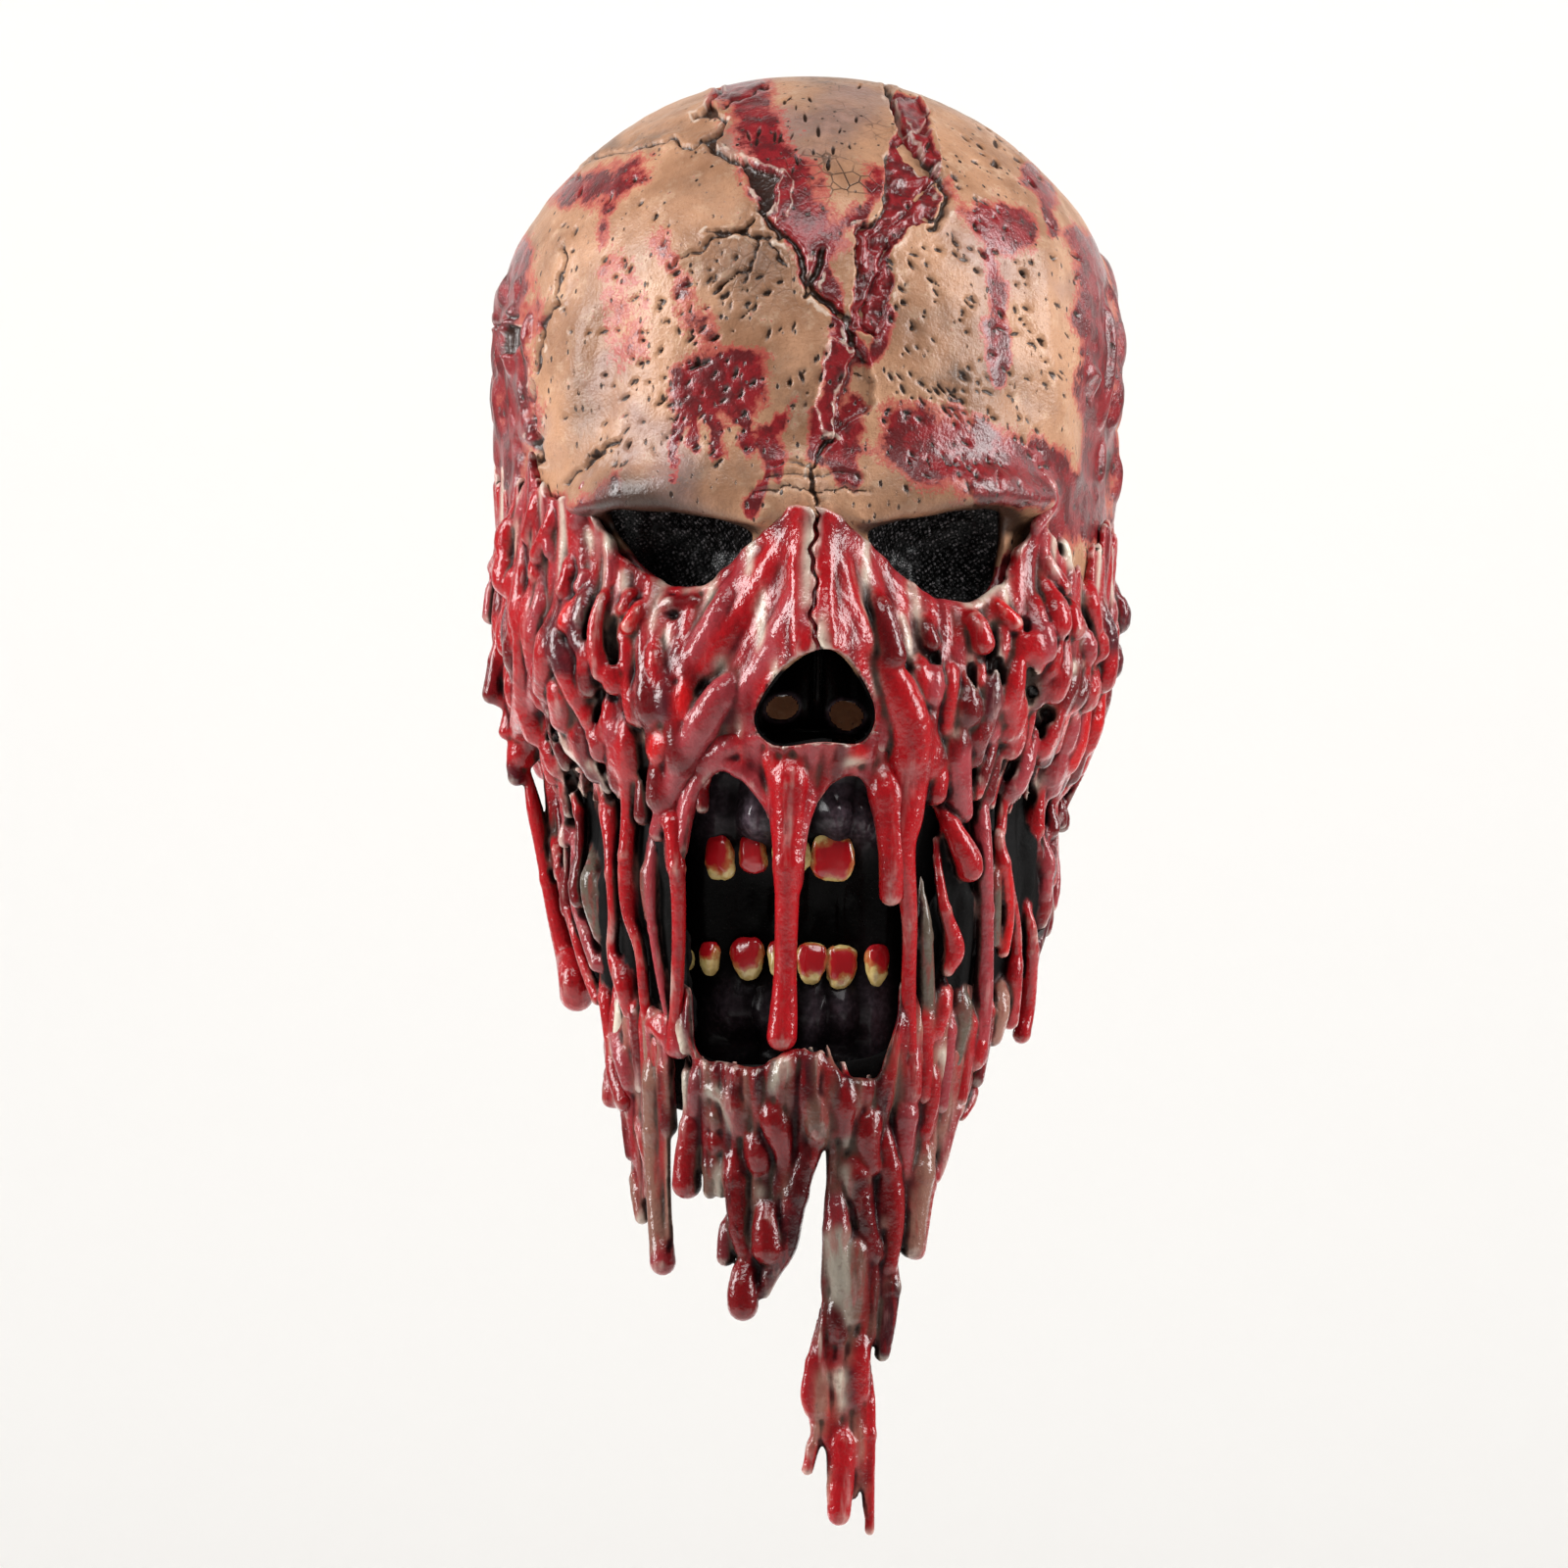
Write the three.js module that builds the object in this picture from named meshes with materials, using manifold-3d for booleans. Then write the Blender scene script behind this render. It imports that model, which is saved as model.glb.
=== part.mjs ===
// A full-head latex carnival mask: a cracked skull whose face melts away in hanging drips.
// Millimetres, +Z up. The face looks along -Y, and +X is at the right as seen from the front.
// The origin is inside the crown, where the wearer's head carries the mask.
// Heights are written as drops below the top of the crown, sideways places as millimetres from
// the midline or as degrees round the head, 0 at the front and positive towards +X.

import * as THREE from "three";
import { mergeVertices } from "three/addons/utils/BufferGeometryUtils.js";
import Module from "manifold-3d";

const wasm = await Module();
wasm.setup();

// Driving dimensions
const WALL = 3; // latex wall of the skull
const SEAT_GAP = 0.6; // clearance between pieces that lie on each other
const LINING = 2; // wall of the black nose and mouth linings
const GAUZE = 1.2; // eye gauze with its glued edge
const FLESH = 2.6; // melted flesh where it lies on the bone
const DRIP_SEAT = 0.45; // share of a drip's radius by which its middle stands off the bone
const CHIN_RIM = 333; // drop of the mask's lower edge at the chin
const NAPE_RIM = 266; // drop of its lower edge at the nape
const HANG_START = 222; // drop where the drips begin to hang clear of the jaw
const HANG_FULL = 258; // drop where they hang at their full distance
const HANG_CLEAR = 7; // that distance in front of the jaw
const MOUTH_DEPTH = 14; // mouth lining behind the skull's outer face
const GUM_DEPTH = 7; // gum ridges behind the skull's outer face
const NOSE_DEPTH = 13; // back of the nose behind the skull's outer face
const TOOTH_DEPTH = 6; // teeth from front to back
const FACE_REACH = 140; // distance in front of the origin that clears the whole face
const FACE_BACK = 30; // distance in front of the origin that every face opening is cut to
const CHEEK_FRONT = 35; // degrees from the midline where the flesh's top edge starts to rise
const CHEEK_SIDE = 65; // degrees from the midline where it has risen

// Facets
const FRONT_COLUMNS = 22; // columns of the skull's grid from ear to ear across the face
const BACK_COLUMNS = 10; // columns round the back
const SKULL_ROWS = 20; // rows from crown to rim
const FRONT_HALF_ANGLE = 80; // degrees from the midline to the end of the fine columns
const DRIP_SIDES = 6;
const TOOTH_SIDES = 8;
const NOSTRIL_SIDES = 12;

// Horizontal sections of the head, and below the rim the guide that the free drips hang along.
const HEAD_SECTIONS = [
  { drop: 0, half: 0, front: 0, back: 0 },
  { drop: 1.8, half: 20, front: 22, back: 22 },
  { drop: 7, half: 39, front: 44, back: 45 },
  { drop: 20, half: 63, front: 71, back: 74 },
  { drop: 39, half: 83, front: 92, back: 95 },
  { drop: 58, half: 95, front: 104, back: 107 },
  { drop: 80, half: 100, front: 110, back: 114 },
  { drop: 102, half: 101, front: 112, back: 116 },
  { drop: 126, half: 99.5, front: 112, back: 115 },
  { drop: 150, half: 97.5, front: 110, back: 110 },
  { drop: 174, half: 95.5, front: 109, back: 104 },
  { drop: 196, half: 91.5, front: 109, back: 97 },
  { drop: 216, half: 84, front: 108, back: 91 },
  { drop: 238, half: 76, front: 105, back: 86 },
  { drop: 264, half: 69.5, front: 100, back: 83 },
  { drop: 292, half: 64.5, front: 95, back: 80 },
  { drop: 318, half: 60, front: 91, back: 77 },
  { drop: 342, half: 58, front: 88, back: 75 },
  { drop: 372, half: 57, front: 87, back: 75 },
  { drop: 420, half: 56, front: 86, back: 75 },
  { drop: 470, half: 56, front: 86, back: 75 },
];

// Rounded rises and dents of the face: place, spread and height along the surface's normal.
const FACE_FORMS = [
  { name: "brow_left", angle: -24, drop: 134, wide: 17, tall: 9, rise: 6.5 },
  { name: "brow_right", angle: 25, drop: 134, wide: 17, tall: 9, rise: 6.5 },
  { name: "glabella", angle: 1, drop: 136, wide: 9, tall: 10, rise: 3 },
  { name: "socket_left", angle: -24.5, drop: 157, wide: 13, tall: 16, rise: -15 },
  { name: "socket_right", angle: 26, drop: 158, wide: 13.5, tall: 17, rise: -15 },
  { name: "nose_bridge", angle: 1, drop: 158, wide: 5.5, tall: 20, rise: 8 },
  { name: "nose_tip", angle: 2, drop: 186, wide: 8, tall: 17, rise: 14 },
  { name: "nose_wings", angle: 1.5, drop: 207, wide: 13, tall: 13, rise: 7 },
  { name: "cheekbone_left", angle: -46, drop: 184, wide: 15, tall: 14, rise: 4.5 },
  { name: "cheekbone_right", angle: 47, drop: 184, wide: 15, tall: 14, rise: 4.5 },
  { name: "temple_left", angle: -70, drop: 122, wide: 13, tall: 24, rise: -4 },
  { name: "temple_right", angle: 70, drop: 122, wide: 13, tall: 24, rise: -4 },
  { name: "cheek_hollow_left", angle: -58, drop: 242, wide: 16, tall: 20, rise: -5 },
  { name: "cheek_hollow_right", angle: 58, drop: 242, wide: 16, tall: 20, rise: -5 },
  { name: "chin", angle: -4, drop: 322, wide: 22, tall: 14, rise: 4 },
];

// Openings in the skull as seen from the front, one smooth closed curve through each list.
const EYE_LEFT = [
  { x: -61, drop: 149 },
  { x: -55, drop: 142 },
  { x: -40, drop: 143 },
  { x: -26, drop: 146 },
  { x: -18, drop: 151 },
  { x: -25, drop: 160 },
  { x: -36, drop: 168 },
  { x: -48, drop: 167 },
  { x: -58, drop: 159 },
];
const EYE_RIGHT = [
  { x: 19, drop: 149 },
  { x: 35, drop: 145 },
  { x: 51, drop: 141 },
  { x: 61, drop: 143 },
  { x: 65, drop: 153 },
  { x: 61, drop: 166 },
  { x: 51, drop: 173 },
  { x: 39, drop: 171 },
  { x: 27, drop: 161 },
];
const NOSE = [
  { x: 5, drop: 187 },
  { x: 14, drop: 192 },
  { x: 21, drop: 206 },
  { x: 17, drop: 216 },
  { x: 4, drop: 216 },
  { x: -11, drop: 217 },
  { x: -17, drop: 208 },
  { x: -8, drop: 193 },
];
const MOUTH = [
  { x: -28, drop: 223 },
  { x: -6, drop: 225 },
  { x: 17, drop: 224 },
  { x: 29, drop: 240 },
  { x: 31, drop: 280 },
  { x: 28, drop: 312 },
  { x: -5, drop: 317 },
  { x: -37, drop: 314 },
  { x: -42, drop: 280 },
  { x: -40, drop: 240 },
];
const NOSTRILS = [
  { x: -9, drop: 206, radius: 4.5 },
  { x: 11, drop: 208, radius: 5 },
];

// Patches that lie behind an opening, each a sheet between two drops and two sideways places.
const EYE_GAUZE = {
  left: { from: -67, to: -13, top: 135, bottom: 175, columns: 5, rows: 4 },
  right: { from: 14, to: 71, top: 135, bottom: 180, columns: 5, rows: 4 },
};
const NOSE_LINING = { from: -24, to: 28, top: 181, bottom: 219.6, columns: 6, rows: 5 };
const MOUTH_LINING = { from: -48, to: 37, top: 220.4, bottom: 326, columns: 8, rows: 9 };
const GUM_RIDGES = [
  { drop: 242, tall: 12 },
  { drop: 300, tall: 12 },
];

// Teeth that are left, by the middle of each crown as seen from the front.
const UPPER_TEETH = [
  { x: -30.8, drop: 253, width: 10, height: 15 },
  { x: -20.3, drop: 252.5, width: 9, height: 13 },
  { x: -6, drop: 252, width: 12, height: 13 },
  { x: 9, drop: 253, width: 14, height: 17 },
];
const LOWER_TEETH = [
  { x: -39, drop: 285, width: 3.5, height: 7 },
  { x: -33.5, drop: 285, width: 6, height: 11 },
  { x: -23.5, drop: 286, width: 11, height: 13.5 },
  { x: -11.5, drop: 286, width: 7, height: 12 },
  { x: 1.4, drop: 287.5, width: 9.4, height: 13.5 },
  { x: 12.7, drop: 288.5, width: 10, height: 14 },
  { x: 23.2, drop: 287, width: 7.6, height: 13.5 },
];

// Flesh left on the bone: sheets that the drips grow from, by angle, between a top and a bottom edge.
// Where free is 1 the drips below hang clear of the jaw, where it is 0 they stay close to it.
const FLESH_SHEETS = {
  cheek_left: { from: -112, to: -27, top: 176, top_side: 152, bottom: 224, columns: 9, rows: 3, free: 1 },
  cheek_right: { from: 27, to: 112, top: 180, top_side: 156, bottom: 220, columns: 9, rows: 3, free: 1 },
  lip: { from: -21, to: 18, top: 219, top_side: 219, bottom: 226, columns: 5, rows: 1, free: 1 },
  chin: { from: -62, to: 60, top: 321, top_side: 318, bottom: 334, columns: 8, rows: 1, free: 0 },
};

// Drips: angle round the head, drops of the root and the tip, radii of root, neck and bulb, and
// the degrees that the tip has drifted sideways.
const DRIPS = {
  cheek_left: [
    { angle: -97, top: 196, tip: 268, root: 5, neck: 3.5, bulb: 4.5, drift: 4 },
    { angle: -86, top: 152, tip: 232, root: 5, neck: 4, bulb: 5, drift: 0 },
    { angle: -84, top: 205, tip: 296, root: 5, neck: 5, bulb: 7, drift: 0 },
    { angle: -75, top: 158, tip: 262, root: 5, neck: 3.5, bulb: 4, drift: 2 },
    { angle: -66, top: 168, tip: 290, root: 5, neck: 3, bulb: 4, drift: 2 },
    { angle: -58, top: 176, tip: 306, root: 4.5, neck: 2.6, bulb: 3.6, drift: 1 },
    { angle: -50, top: 205, tip: 312, root: 4, neck: 2.4, bulb: 3.4, drift: -2 },
    { angle: -43, top: 178, tip: 313, root: 4.5, neck: 2.4, bulb: 3.2, drift: -2 },
    { angle: -34, top: 200, tip: 317, root: 5, neck: 2.4, bulb: 3.2, drift: -7 },
  ],
  cheek_right: [
    { angle: 97, top: 154, tip: 238, root: 5, neck: 4, bulb: 5, drift: -2 },
    { angle: 86, top: 200, tip: 284, root: 5, neck: 3.4, bulb: 4, drift: -2 },
    { angle: 74, top: 200, tip: 309, root: 5, neck: 3.4, bulb: 4.6, drift: 0 },
    { angle: 66, top: 168, tip: 290, root: 5, neck: 3, bulb: 4, drift: -2 },
    { angle: 57, top: 178, tip: 312, root: 5, neck: 3, bulb: 4, drift: 0 },
    { angle: 50, top: 184, tip: 282, root: 4.5, neck: 3, bulb: 4.5, drift: 0 },
    { angle: 43, top: 184, tip: 252, root: 5, neck: 3.5, bulb: 4.5, drift: 2 },
    { angle: 40, top: 210, tip: 316, root: 4, neck: 2.6, bulb: 3.4, drift: 2 },
    { angle: 32, top: 182, tip: 316, root: 5, neck: 3, bulb: 4, drift: 4 },
  ],
  lip: [
    { angle: -3.5, top: 219, tip: 313, root: 8, neck: 3.5, bulb: 5, drift: -1 },
    { angle: 16, top: 219, tip: 266, root: 5, neck: 5, bulb: 4.5, drift: 5 },
    { angle: -19, top: 218, tip: 234, root: 4, neck: 3, bulb: 3, drift: -2 },
  ],
  chin: [
    { angle: -61, top: 319, tip: 352, root: 4, neck: 4, bulb: 4.5, drift: -4 },
    { angle: -54, top: 319, tip: 384, root: 6, neck: 6, bulb: 5.5, drift: 1 },
    { angle: -45, top: 320, tip: 366, root: 5, neck: 4.5, bulb: 4, drift: -1 },
    { angle: -34, top: 322, tip: 360, root: 5, neck: 4.5, bulb: 6.5, drift: -1 },
    { angle: -20, top: 322, tip: 384, root: 5, neck: 4, bulb: 4.5, drift: -5 },
    { angle: -17, top: 322, tip: 398, root: 5, neck: 4.5, bulb: 5.5, drift: -1 },
    { angle: -11, top: 322, tip: 382, root: 5, neck: 4.5, bulb: 5.5, drift: -1 },
    { angle: 8, top: 322, tip: 463, root: 6, neck: 6, bulb: 5, drift: 1 },
    { angle: 15, top: 322, tip: 466, root: 6, neck: 4.5, bulb: 2.4, drift: 4 },
    { angle: 22, top: 322, tip: 430, root: 6, neck: 5, bulb: 4, drift: 1 },
    { angle: 3, top: 396, tip: 448, root: 3, neck: 3.6, bulb: 3.2, drift: -3 },
    { angle: 32, top: 322, tip: 380, root: 5, neck: 4.5, bulb: 5, drift: 1 },
    { angle: 43, top: 321, tip: 350, root: 4.5, neck: 4, bulb: 3.6, drift: 0 },
    { angle: 56, top: 319, tip: 346, root: 4, neck: 3.5, bulb: 3.6, drift: -2 },
  ],
};

const FINISHES = {
  bone: new THREE.MeshStandardMaterial({ color: "#c9a585", roughness: 0.6, metalness: 0 }),
  flesh: new THREE.MeshStandardMaterial({ color: "#a3202b", roughness: 0.3, metalness: 0 }),
  black: new THREE.MeshStandardMaterial({ color: "#120d0e", roughness: 0.35, metalness: 0 }),
  gauze: new THREE.MeshStandardMaterial({ color: "#0b0b0c", roughness: 0.8, metalness: 0 }),
  tooth: new THREE.MeshStandardMaterial({ color: "#d8c282", roughness: 0.3, metalness: 0 }),
};

// Head surface

const sectionWidths = new THREE.CatmullRomCurve3(
  HEAD_SECTIONS.map((s) => new THREE.Vector3(s.half, s.front, s.back)),
  false,
  "catmullrom",
);
const sectionDrops = new THREE.CatmullRomCurve3(
  HEAD_SECTIONS.map((s) => new THREE.Vector3(s.drop, 0, 0)),
  false,
  "catmullrom",
);

// The place along the sections, from 0 at the crown to 1, that has a given drop.
function sectionPlace(drop) {
  let low = 0;
  let high = 1;
  for (let step = 0; step < 30; step++) {
    const middle = (low + high) / 2;
    if (sectionDrops.getPoint(middle).x < drop) low = middle;
    else high = middle;
  }
  return (low + high) / 2;
}

function halfWidth(drop) {
  return sectionWidths.getPoint(sectionPlace(drop)).x;
}

// The angle round the head of a sideways place seen from the front.
function angleAcross(x, drop) {
  return THREE.MathUtils.radToDeg(Math.asin(x / halfWidth(drop)));
}

function smoothSection(angle, drop) {
  const width = sectionWidths.getPoint(sectionPlace(drop));
  const turn = THREE.MathUtils.degToRad(angle);
  const reach = Math.cos(turn) > 0 ? width.y : width.z;
  return new THREE.Vector3(width.x * Math.sin(turn), -reach * Math.cos(turn), WALL - drop);
}

// Outward normal of a surface given as a function of angle and drop.
function normalOf(surface, angle, drop) {
  const sideways = surface(angle + 0.2, drop).sub(surface(angle - 0.2, drop));
  const upwards = surface(angle, drop - 0.2).sub(surface(angle, drop + 0.2));
  return sideways.cross(upwards).normalize();
}

function formRise(angle, drop) {
  let rise = 0;
  for (const form of FACE_FORMS) {
    const across = (angle - form.angle) / form.wide;
    const along = (drop - form.drop) / form.tall;
    rise += form.rise * Math.exp(-across * across - along * along);
  }
  return rise;
}

function headSurface(angle, drop) {
  const normal = normalOf(smoothSection, angle, drop);
  return smoothSection(angle, drop).addScaledVector(normal, formRise(angle, drop));
}

// A point at a distance outside the head's surface, or inside it where the distance is negative.
function headPoint(angle, drop, outside) {
  return headSurface(angle, drop).addScaledVector(normalOf(headSurface, angle, drop), outside);
}

// Solids

function solidOf(geometry) {
  const bare = geometry.clone();
  bare.deleteAttribute("normal");
  bare.deleteAttribute("uv");
  const merged = mergeVertices(bare, 1e-4);
  const mesh = new wasm.Mesh({
    numProp: 3,
    vertProperties: merged.attributes.position.array,
    triVerts: new Uint32Array(merged.index.array),
  });
  return new wasm.Manifold(mesh);
}

function geometryOf(solid) {
  const mesh = solid.getMesh();
  const geometry = new THREE.BufferGeometry();
  geometry.setAttribute("position", new THREE.BufferAttribute(mesh.vertProperties, 3));
  geometry.setIndex(new THREE.BufferAttribute(mesh.triVerts, 1));
  geometry.computeVertexNormals();
  return geometry;
}

function geometryFrom(points, triangles) {
  const geometry = new THREE.BufferGeometry().setFromPoints(points);
  geometry.setIndex(triangles);
  return geometry;
}

function meshOf(name, solid, finish) {
  const mesh = new THREE.Mesh(geometryOf(solid), FINISHES[finish].clone());
  mesh.name = name;
  return mesh;
}

function joined(solids) {
  return solids.reduce((whole, solid) => whole.add(solid));
}

// A hole through the face, along Y, with a smooth outline.
function hole(outline) {
  const curve = new THREE.CatmullRomCurve3(
    outline.map((p) => new THREE.Vector3(p.x, WALL - p.drop, 0)),
    true,
  );
  const shape = new THREE.Shape(
    curve.getPoints(3 * outline.length).slice(0, -1).map((p) => new THREE.Vector2(p.x, p.y)),
  );
  const depth = FACE_REACH - FACE_BACK;
  const geometry = new THREE.ExtrudeGeometry(shape, { depth, bevelEnabled: false });
  geometry.rotateX(Math.PI / 2);
  geometry.translate(0, -FACE_BACK, 0);
  return solidOf(geometry);
}

// A closed sheet over a grid of surface places, between an outer and an inner distance.
// places[row][column] holds an angle and a drop.
function sheet(places, outer, inner) {
  const rows = places.length;
  const columns = places[0].length;
  const points = [];
  for (const distance of [outer, inner]) {
    for (const row of places) {
      for (const p of row) points.push(headPoint(p.angle, p.drop, distance(p)));
    }
  }
  const back = rows * columns;
  const at = (row, column) => row * columns + column;
  const triangles = [];
  const quad = (a, b, c, d) => triangles.push(a, b, c, a, c, d);
  for (let r = 0; r + 1 < rows; r++) {
    for (let c = 0; c + 1 < columns; c++) {
      const corners = [at(r, c), at(r + 1, c), at(r + 1, c + 1), at(r, c + 1)];
      quad(...corners);
      quad(...corners.map((corner) => corner + back).reverse());
    }
  }
  const border = [];
  for (let c = 0; c < columns - 1; c++) border.push(at(0, c));
  for (let r = 0; r < rows - 1; r++) border.push(at(r, columns - 1));
  for (let c = columns - 1; c > 0; c--) border.push(at(rows - 1, c));
  for (let r = rows - 1; r > 0; r--) border.push(at(r, 0));
  border.forEach((a, i) => {
    const b = border[(i + 1) % border.length];
    quad(a, b, b + back, a + back);
  });
  return solidOf(geometryFrom(points, triangles));
}

// Grid of places for a patch that is given by its sideways extent.
function patchPlaces(patch) {
  const places = [];
  for (let r = 0; r <= patch.rows; r++) {
    const drop = THREE.MathUtils.lerp(patch.top, patch.bottom, r / patch.rows);
    const row = [];
    for (let c = 0; c <= patch.columns; c++) {
      const share = c / patch.columns;
      const x = THREE.MathUtils.lerp(patch.from, patch.to, share);
      row.push({ angle: angleAcross(x, drop), drop, share, down: r / patch.rows });
    }
    places.push(row);
  }
  return places;
}

// 0 at a patch's edge and 1 over its middle.
function patchMiddle(place) {
  const fromSide = Math.min(place.share, 1 - place.share);
  const fromEnd = Math.min(place.down, 1 - place.down);
  const across = THREE.MathUtils.smoothstep(fromSide, 0.1, 0.28);
  const along = THREE.MathUtils.smoothstep(fromEnd, 0.02, 0.16);
  return across * along;
}

// Skull

function rimDrop(angle) {
  const facing = Math.cos(THREE.MathUtils.degToRad(angle));
  return THREE.MathUtils.lerp(NAPE_RIM, CHIN_RIM, THREE.MathUtils.smoothstep(facing, -0.3, 0.75));
}

function columnAngles() {
  const angles = [];
  for (let c = 0; c < FRONT_COLUMNS; c++) {
    angles.push(-FRONT_HALF_ANGLE + (2 * FRONT_HALF_ANGLE * c) / FRONT_COLUMNS);
  }
  const backArc = 360 - 2 * FRONT_HALF_ANGLE;
  for (let c = 0; c < BACK_COLUMNS; c++) angles.push(FRONT_HALF_ANGLE + (backArc * c) / BACK_COLUMNS);
  return angles.map((angle) => (angle > 180 ? angle - 360 : angle));
}

// The skull's closed wall, with an allowance all round it.
function skullWall(allowance) {
  const angles = columnAngles();
  const columns = angles.length;
  const points = [];
  for (const outside of [allowance, -WALL - allowance]) {
    points.push(new THREE.Vector3(0, 0, WALL + outside));
    for (let row = 1; row <= SKULL_ROWS; row++) {
      for (const angle of angles) {
        const place = (sectionPlace(rimDrop(angle) + allowance) * row) / SKULL_ROWS;
        points.push(headPoint(angle, sectionDrops.getPoint(place).x, outside));
      }
    }
  }
  const back = 1 + SKULL_ROWS * columns;
  const at = (row, column) => 1 + (row - 1) * columns + (column % columns);
  const triangles = [];
  const both = (a, b, c) => triangles.push(a, b, c, a + back, c + back, b + back);
  for (let column = 0; column < columns; column++) {
    both(0, at(1, column), at(1, column + 1));
    for (let row = 1; row < SKULL_ROWS; row++) {
      both(at(row, column), at(row + 1, column), at(row + 1, column + 1));
      both(at(row, column), at(row + 1, column + 1), at(row, column + 1));
    }
    const a = at(SKULL_ROWS, column);
    const b = at(SKULL_ROWS, column + 1);
    triangles.push(a, a + back, b + back, a, b + back, b);
  }
  return solidOf(geometryFrom(points, triangles));
}

function skull() {
  const openings = [EYE_LEFT, EYE_RIGHT, NOSE, MOUTH].map(hole);
  return openings.reduce((wall, opening) => wall.subtract(opening), skullWall(0));
}

const skullWithClearance = skullWall(SEAT_GAP / 2);

// A piece with what would touch the skull taken off.
function clearOfSkull(solid) {
  return solid.subtract(skullWithClearance);
}

// Pieces behind the openings

function eyeGauze(patch) {
  const front = () => -WALL - SEAT_GAP;
  const back = () => -WALL - SEAT_GAP - GAUZE;
  return clearOfSkull(sheet(patchPlaces(patch), front, back));
}

function noseRecess(place) {
  return THREE.MathUtils.lerp(WALL + SEAT_GAP, NOSE_DEPTH, patchMiddle(place));
}

function noseLining() {
  const wall = sheet(
    patchPlaces(NOSE_LINING),
    (place) => -noseRecess(place),
    (place) => -noseRecess(place) - LINING,
  );
  return NOSTRILS.reduce((lining, nostril) => {
    const length = FACE_REACH - FACE_BACK;
    const bore = new THREE.CylinderGeometry(nostril.radius, nostril.radius, length, NOSTRIL_SIDES);
    bore.translate(nostril.x, -(FACE_REACH + FACE_BACK) / 2, WALL - nostril.drop);
    return lining.subtract(solidOf(bore));
  }, clearOfSkull(wall));
}

// Depth of the mouth lining's face, with the gums standing forward of it.
function mouthRecess(place) {
  let depth = MOUTH_DEPTH;
  for (const gum of GUM_RIDGES) {
    const along = (place.drop - gum.drop) / gum.tall;
    depth -= (MOUTH_DEPTH - GUM_DEPTH) * Math.exp(-along * along);
  }
  return THREE.MathUtils.lerp(WALL + SEAT_GAP, depth, patchMiddle(place));
}

// A peg with a rounded tip, wider at the crown than at the root.
function toothBlank() {
  const profile = [
    { radius: 0, height: -0.5 },
    { radius: 0.34, height: -0.44 },
    { radius: 0.48, height: -0.2 },
    { radius: 0.5, height: 0.08 },
    { radius: 0.36, height: 0.44 },
    { radius: 0, height: 0.5 },
  ];
  return new THREE.LatheGeometry(profile.map((p) => new THREE.Vector2(p.radius, p.height)), TOOTH_SIDES);
}

function tooth(row, rootUp, allowance) {
  const geometry = toothBlank();
  geometry.rotateX(Math.PI / 2);
  if (!rootUp) geometry.rotateX(Math.PI);
  geometry.scale(row.width + allowance, TOOTH_DEPTH + allowance, row.height + allowance);
  const patch = MOUTH_LINING;
  const place = {
    drop: row.drop,
    share: (row.x - patch.from) / (patch.to - patch.from),
    down: (row.drop - patch.top) / (patch.bottom - patch.top),
  };
  const angle = angleAcross(row.x, row.drop);
  const centre = headPoint(angle, row.drop, TOOTH_DEPTH / 2 - mouthRecess(place));
  const facing = normalOf(headSurface, angle, row.drop);
  geometry.rotateZ(Math.atan2(facing.x, -facing.y));
  geometry.translate(centre.x, centre.y, centre.z);
  return solidOf(geometry);
}

// The lining with a socket for each tooth, a little larger than the tooth.
function mouthLining() {
  const wall = sheet(
    patchPlaces(MOUTH_LINING),
    (place) => -mouthRecess(place),
    (place) => -mouthRecess(place) - LINING,
  );
  const sockets = [
    ...UPPER_TEETH.map((row) => tooth(row, true, SEAT_GAP)),
    ...LOWER_TEETH.map((row) => tooth(row, false, SEAT_GAP)),
  ];
  return sockets.reduce((lining, socket) => lining.subtract(socket), clearOfSkull(wall));
}

// Melted flesh

function hangClear(drop) {
  return HANG_CLEAR * THREE.MathUtils.smoothstep(drop, HANG_START, HANG_FULL);
}

function fleshSheet(flesh) {
  const places = [];
  for (let r = 0; r <= flesh.rows; r++) {
    const row = [];
    for (let c = 0; c <= flesh.columns; c++) {
      const angle = THREE.MathUtils.lerp(flesh.from, flesh.to, c / flesh.columns);
      const aside = THREE.MathUtils.smoothstep(Math.abs(angle), CHEEK_FRONT, CHEEK_SIDE);
      const top = THREE.MathUtils.lerp(flesh.top, flesh.top_side, aside);
      row.push({ angle, drop: THREE.MathUtils.lerp(top, flesh.bottom, r / flesh.rows) });
    }
    places.push(row);
  }
  const inside = (place) => SEAT_GAP + flesh.free * hangClear(place.drop);
  return sheet(places, (place) => inside(place) + FLESH, inside);
}

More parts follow.
